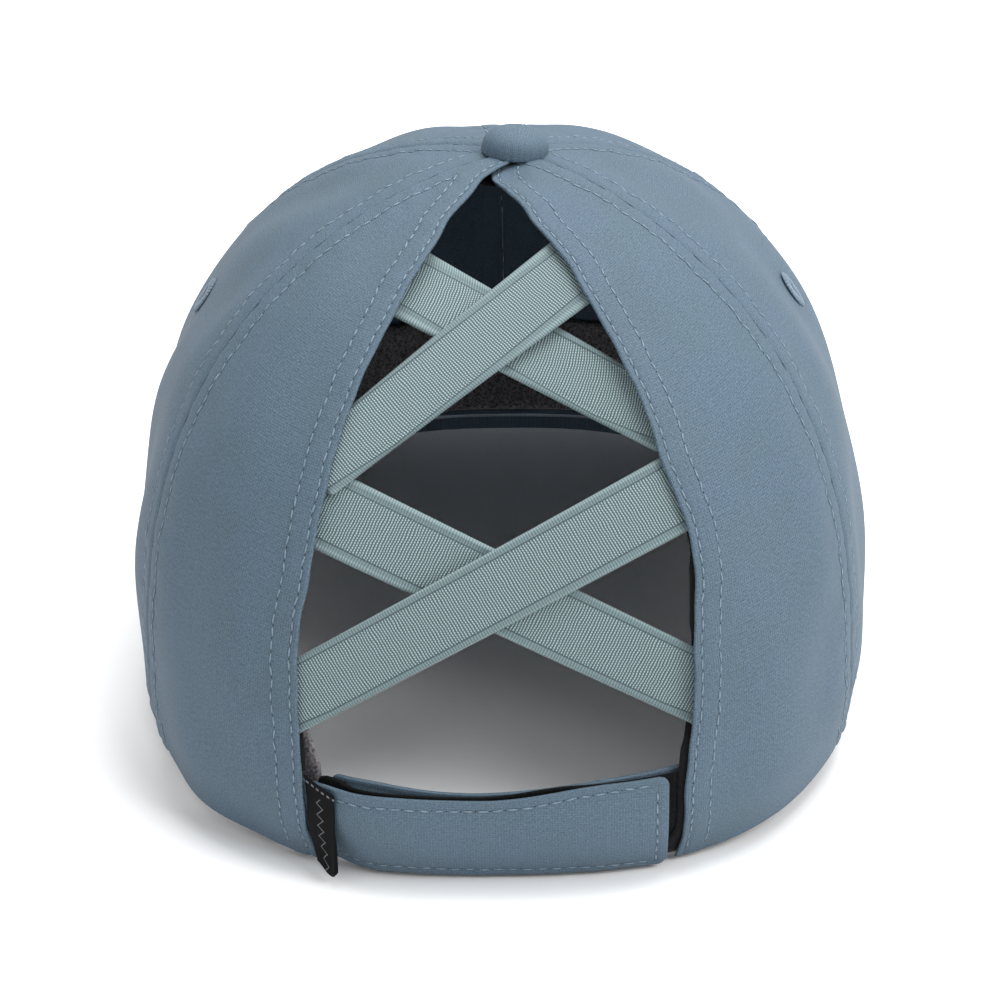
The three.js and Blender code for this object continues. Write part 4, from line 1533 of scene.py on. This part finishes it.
@dataclass
class Sweatband:
    """The heather sweatband inside the rim, with its turned top edge."""

    wall: float = 1.9
    height: float = 28.6
    foot: float = 1.2
    shows: float = 0.7
    slope: float = 2.4
    slope_from: float = 22.0
    slope_height: float = 7.8
    hidden: float = 3.0
    left_depth: float = 6.6
    right_depth: float = 4.6
    side_depth: float = 1.5
    side_zone: tuple[float, float] = (math.radians(28.0), math.radians(50.0))
    seam_dip: float = 0.25
    seam_drop: float = 4.5
    fold: float = 0.6
    grid: tuple[int, int] = (300, 22)

    def build(self, wardrobe: Wardrobe) -> None:
        """Builds the band from hem to hem round the front."""
        low, high = (float(CROWN.rise_at(h)) for h in (self.foot, self.foot + self.height))

        def end(side: int, along: Array, rise: Array) -> Array:
            above = self.foot + along * self.height - self.slope_from
            taper = self.slope * np.clip(above / self.slope_height, 0.0, 1.0)
            shown = self.shows - taper if side > 0 else -self.hidden
            return CROWN.angle_at(CROWN.hem(side, rise) - side * shown, rise)

        def place(across: Array, along: Array) -> Array:
            rise = low + (high - low) * along
            start, stop = end(1, along, rise), 2 * math.pi + end(-1, along, rise)
            angle = start + (stop - start) * across
            from_back = np.minimum(angle, 2 * math.pi - angle)
            behind = np.where(angle < math.pi, self.left_depth, self.right_depth)
            aside = smooth(from_back, *self.side_zone)
            return CROWN.point(angle, rise, behind + (self.side_depth - behind) * aside)

        cloth = Cloth(*self.grid, place, 0.3).face(np.array([0.0, -1.0, 0.0]))
        soft = 0.12 * np.sin(cloth.from_left / 5.1) * np.sin(cloth.from_foot / 4.0)
        cloth.push(soft + self.seam_dip * bump(cloth.from_head, self.seam_drop, 0.6))
        cloth.roll(self.fold, [Edge.HEAD, Edge.LEFT, Edge.RIGHT])
        cloth.build("sweatband_knit", self.wall, wardrobe.heather, "heather", ["sweatband"],
                    ["side_panel_left_cloth", "side_panel_right_cloth"], strip=True)


@dataclass
class Peak:
    """The curved peak: cloth over a board, with rows of stitching along its outer edge."""

    half_width: float = 85.0
    length: float = 68.0
    wall: float = 3.2
    spread: float = math.radians(64.0)
    widest: float = 88.0
    wing: float = 62.0
    tip_height: float = 18.0
    wing_tip: float = 0.6
    squareness: float = 2.2
    panel_wall: float = 1.2
    past_side: float = math.radians(29.0)
    blend_from: float = 0.72
    rows: int = 6
    first_row: float = 3.0
    row_gap: float = 8.5
    row_dip: float = 0.15
    row_start: float = 7.0
    row_room: float = 1.08
    edge_roll: float = 1.5
    edge_soft: float = 0.9
    broad: tuple[float, float] = (3.0, 9.0)
    grid: tuple[int, int] = (170, 70)

    def _place(self, across: Array, along: Array) -> Array:
        """Points of the upper face, from the seam to the outer edge."""
        share = 2 * across - 1
        angle = math.pi + share * self.spread
        seam = CROWN.point(angle, 0 * share, self.panel_wall)
        seam[..., 2] = CROWN.rim(angle) - GAP
        turn = share * (math.pi / 2 + self.past_side)
        sine = powered(np.sin(turn), 2 / self.squareness)
        cosine = powered(np.cos(turn), 2 / self.squareness)
        front = CROWN.front * CROWN.profile[0].front + self.length - self.widest
        reach = np.where(cosine > 0, front, self.wing)
        free = np.stack([
            -self.half_width * sine, -self.widest - reach * cosine,
            self.tip_height - (self.tip_height - self.wall) * sine * sine,
        ], axis=-1)
        outward = CROWN.normal(angle, 0 * share)
        outward[..., 2] = 0
        wing = seam + unit(outward) * (self.panel_wall + self.wing_tip)
        blend = smooth(np.abs(share), self.blend_from, 1.0)[..., None]
        edge = free * (1 - blend) + wing * blend
        return seam + (edge - seam) * along[..., None]

    def build(self, wardrobe: Wardrobe) -> None:
        """Builds the covered board and sews its rows."""
        cloth = Cloth(*self.grid, self._place, 0.55).face(np.array([0.0, 0.0, 1.0]))
        away = cloth.distance(Edge.HEAD)
        lines = [self.first_row + self.row_gap * k for k in range(self.rows)]
        depth = self.row_dip * sum(bump(away, line, 0.5) for line in lines)
        depth += 0.05 * np.sin(cloth.from_left / 3.1) * bump(away, self.first_row, 4.0)
        # The narrow ends of the wings stay plain
        broad = smooth(cloth.from_foot[-1:, :], *self.broad)
        cloth.push(depth * broad)
        cloth.roll(self.edge_roll, [Edge.HEAD], broad)
        piece = cloth.build("peak_cloth", self.wall, wardrobe.cloth, "peak_cloth", ["peak"])
        soft = piece.modifiers.new("edge", "BEVEL")
        soft.width = self.edge_soft * MM
        soft.segments = 3
        soft.limit_method = "ANGLE"
        work = Needlework(pitch=2.8, length=2.2)
        for k, line in enumerate(lines):
            row = cloth.line(Edge.HEAD, line, self.row_start, self.row_start, self.row_room)
            work.sew(row, 0.3 * k)
        work.build("peak", wardrobe, "peak_cloth")


@dataclass(frozen=True)
class Lamp:
    """A square soft light, aimed at the crown."""

    name: str
    place: tuple[float, float, float]
    size: float
    power: float


@dataclass
class Studio:
    """A plain white floor, soft lights and the camera of the photograph."""

    ambient: float = 0.78
    lamps: tuple[Lamp, ...] = (
        Lamp("key", (-0.85, 0.65, 0.9), 0.6, 8.8),
        Lamp("top", (-0.2, -0.2, 1.2), 0.9, 17.5),
    )
    eye: tuple[float, float, float] = (-8.51, 553.84, 301.44)
    look: tuple[float, float, float] = (0.18, 0.0, 40.5)
    roll: float = math.radians(-0.902)
    lens: float = 98.25
    sensor: float = 36.0
    aim: tuple[float, float, float] = (0.0, 0.0, 60.0)
    floor_half: float = 4.0
    floor_drop: float = 0.0002

    def _light(self, lamp: Lamp) -> None:
        """Adds one soft light."""
        data = bpy.data.lights.new(lamp.name, "AREA")
        data.shape = "SQUARE"
        data.size = lamp.size
        data.energy = lamp.power
        light = bpy.data.objects.new(lamp.name, data)
        bpy.context.scene.collection.objects.link(light)
        place, target = Vector(lamp.place), Vector(CROWN.in_frame(np.array(self.aim)))
        light.location = place
        light.rotation_euler = (target - place).to_track_quat("-Z", "Y").to_euler()

    def build(self, wardrobe: Wardrobe) -> None:
        """Sets the floor, the lights, the surroundings and the camera."""
        scene = bpy.context.scene
        scene.view_settings.view_transform = "Standard"
        bm = bmesh.new()
        bmesh.ops.create_grid(bm, x_segments=8, y_segments=8, size=self.floor_half)
        mesh = drawn(bm, "studio_floor")
        mesh.materials.append(wardrobe.studio)
        floor = bpy.data.objects.new(mesh.name, mesh)
        floor.location.z = -self.floor_drop
        scene.collection.objects.link(floor)
        world = bpy.data.worlds.new("studio")
        world.use_nodes = True
        background = world.node_tree.nodes["Background"]
        background.inputs[0].default_value = (1.0, 1.0, 1.0, 1.0)
        background.inputs[1].default_value = self.ambient
        scene.world = world
        for lamp in self.lamps:
            self._light(lamp)
        data = bpy.data.cameras.new("camera")
        data.lens = self.lens
        data.sensor_width = self.sensor
        camera = bpy.data.objects.new("camera", data)
        scene.collection.objects.link(camera)
        eye, aim = (Vector(CROWN.in_frame(np.array(spot))) for spot in (self.eye, self.look))
        turn = (aim - eye).to_track_quat("-Z", "Y").to_matrix()
        camera.matrix_world = Matrix.Translation(eye) @ (turn @ Matrix.Rotation(self.roll, 3, "Z")).to_4x4()
        scene.camera = camera


def main() -> None:
    """Builds every sub-assembly in order."""
    logging.basicConfig(level=logging.INFO, format="%(name)s: %(message)s")
    wardrobe = Wardrobe()
    bands = ElasticBands()
    for part in (Crown(), Eyelets(), Button(), bands, Closure(), Sweatband(), Peak(), Studio()):
        log.info("building %s", type(part).__name__)
        part.build(wardrobe)
    EdgeTapes().build(wardrobe, bands)


if __name__ == "__main__":
    main()
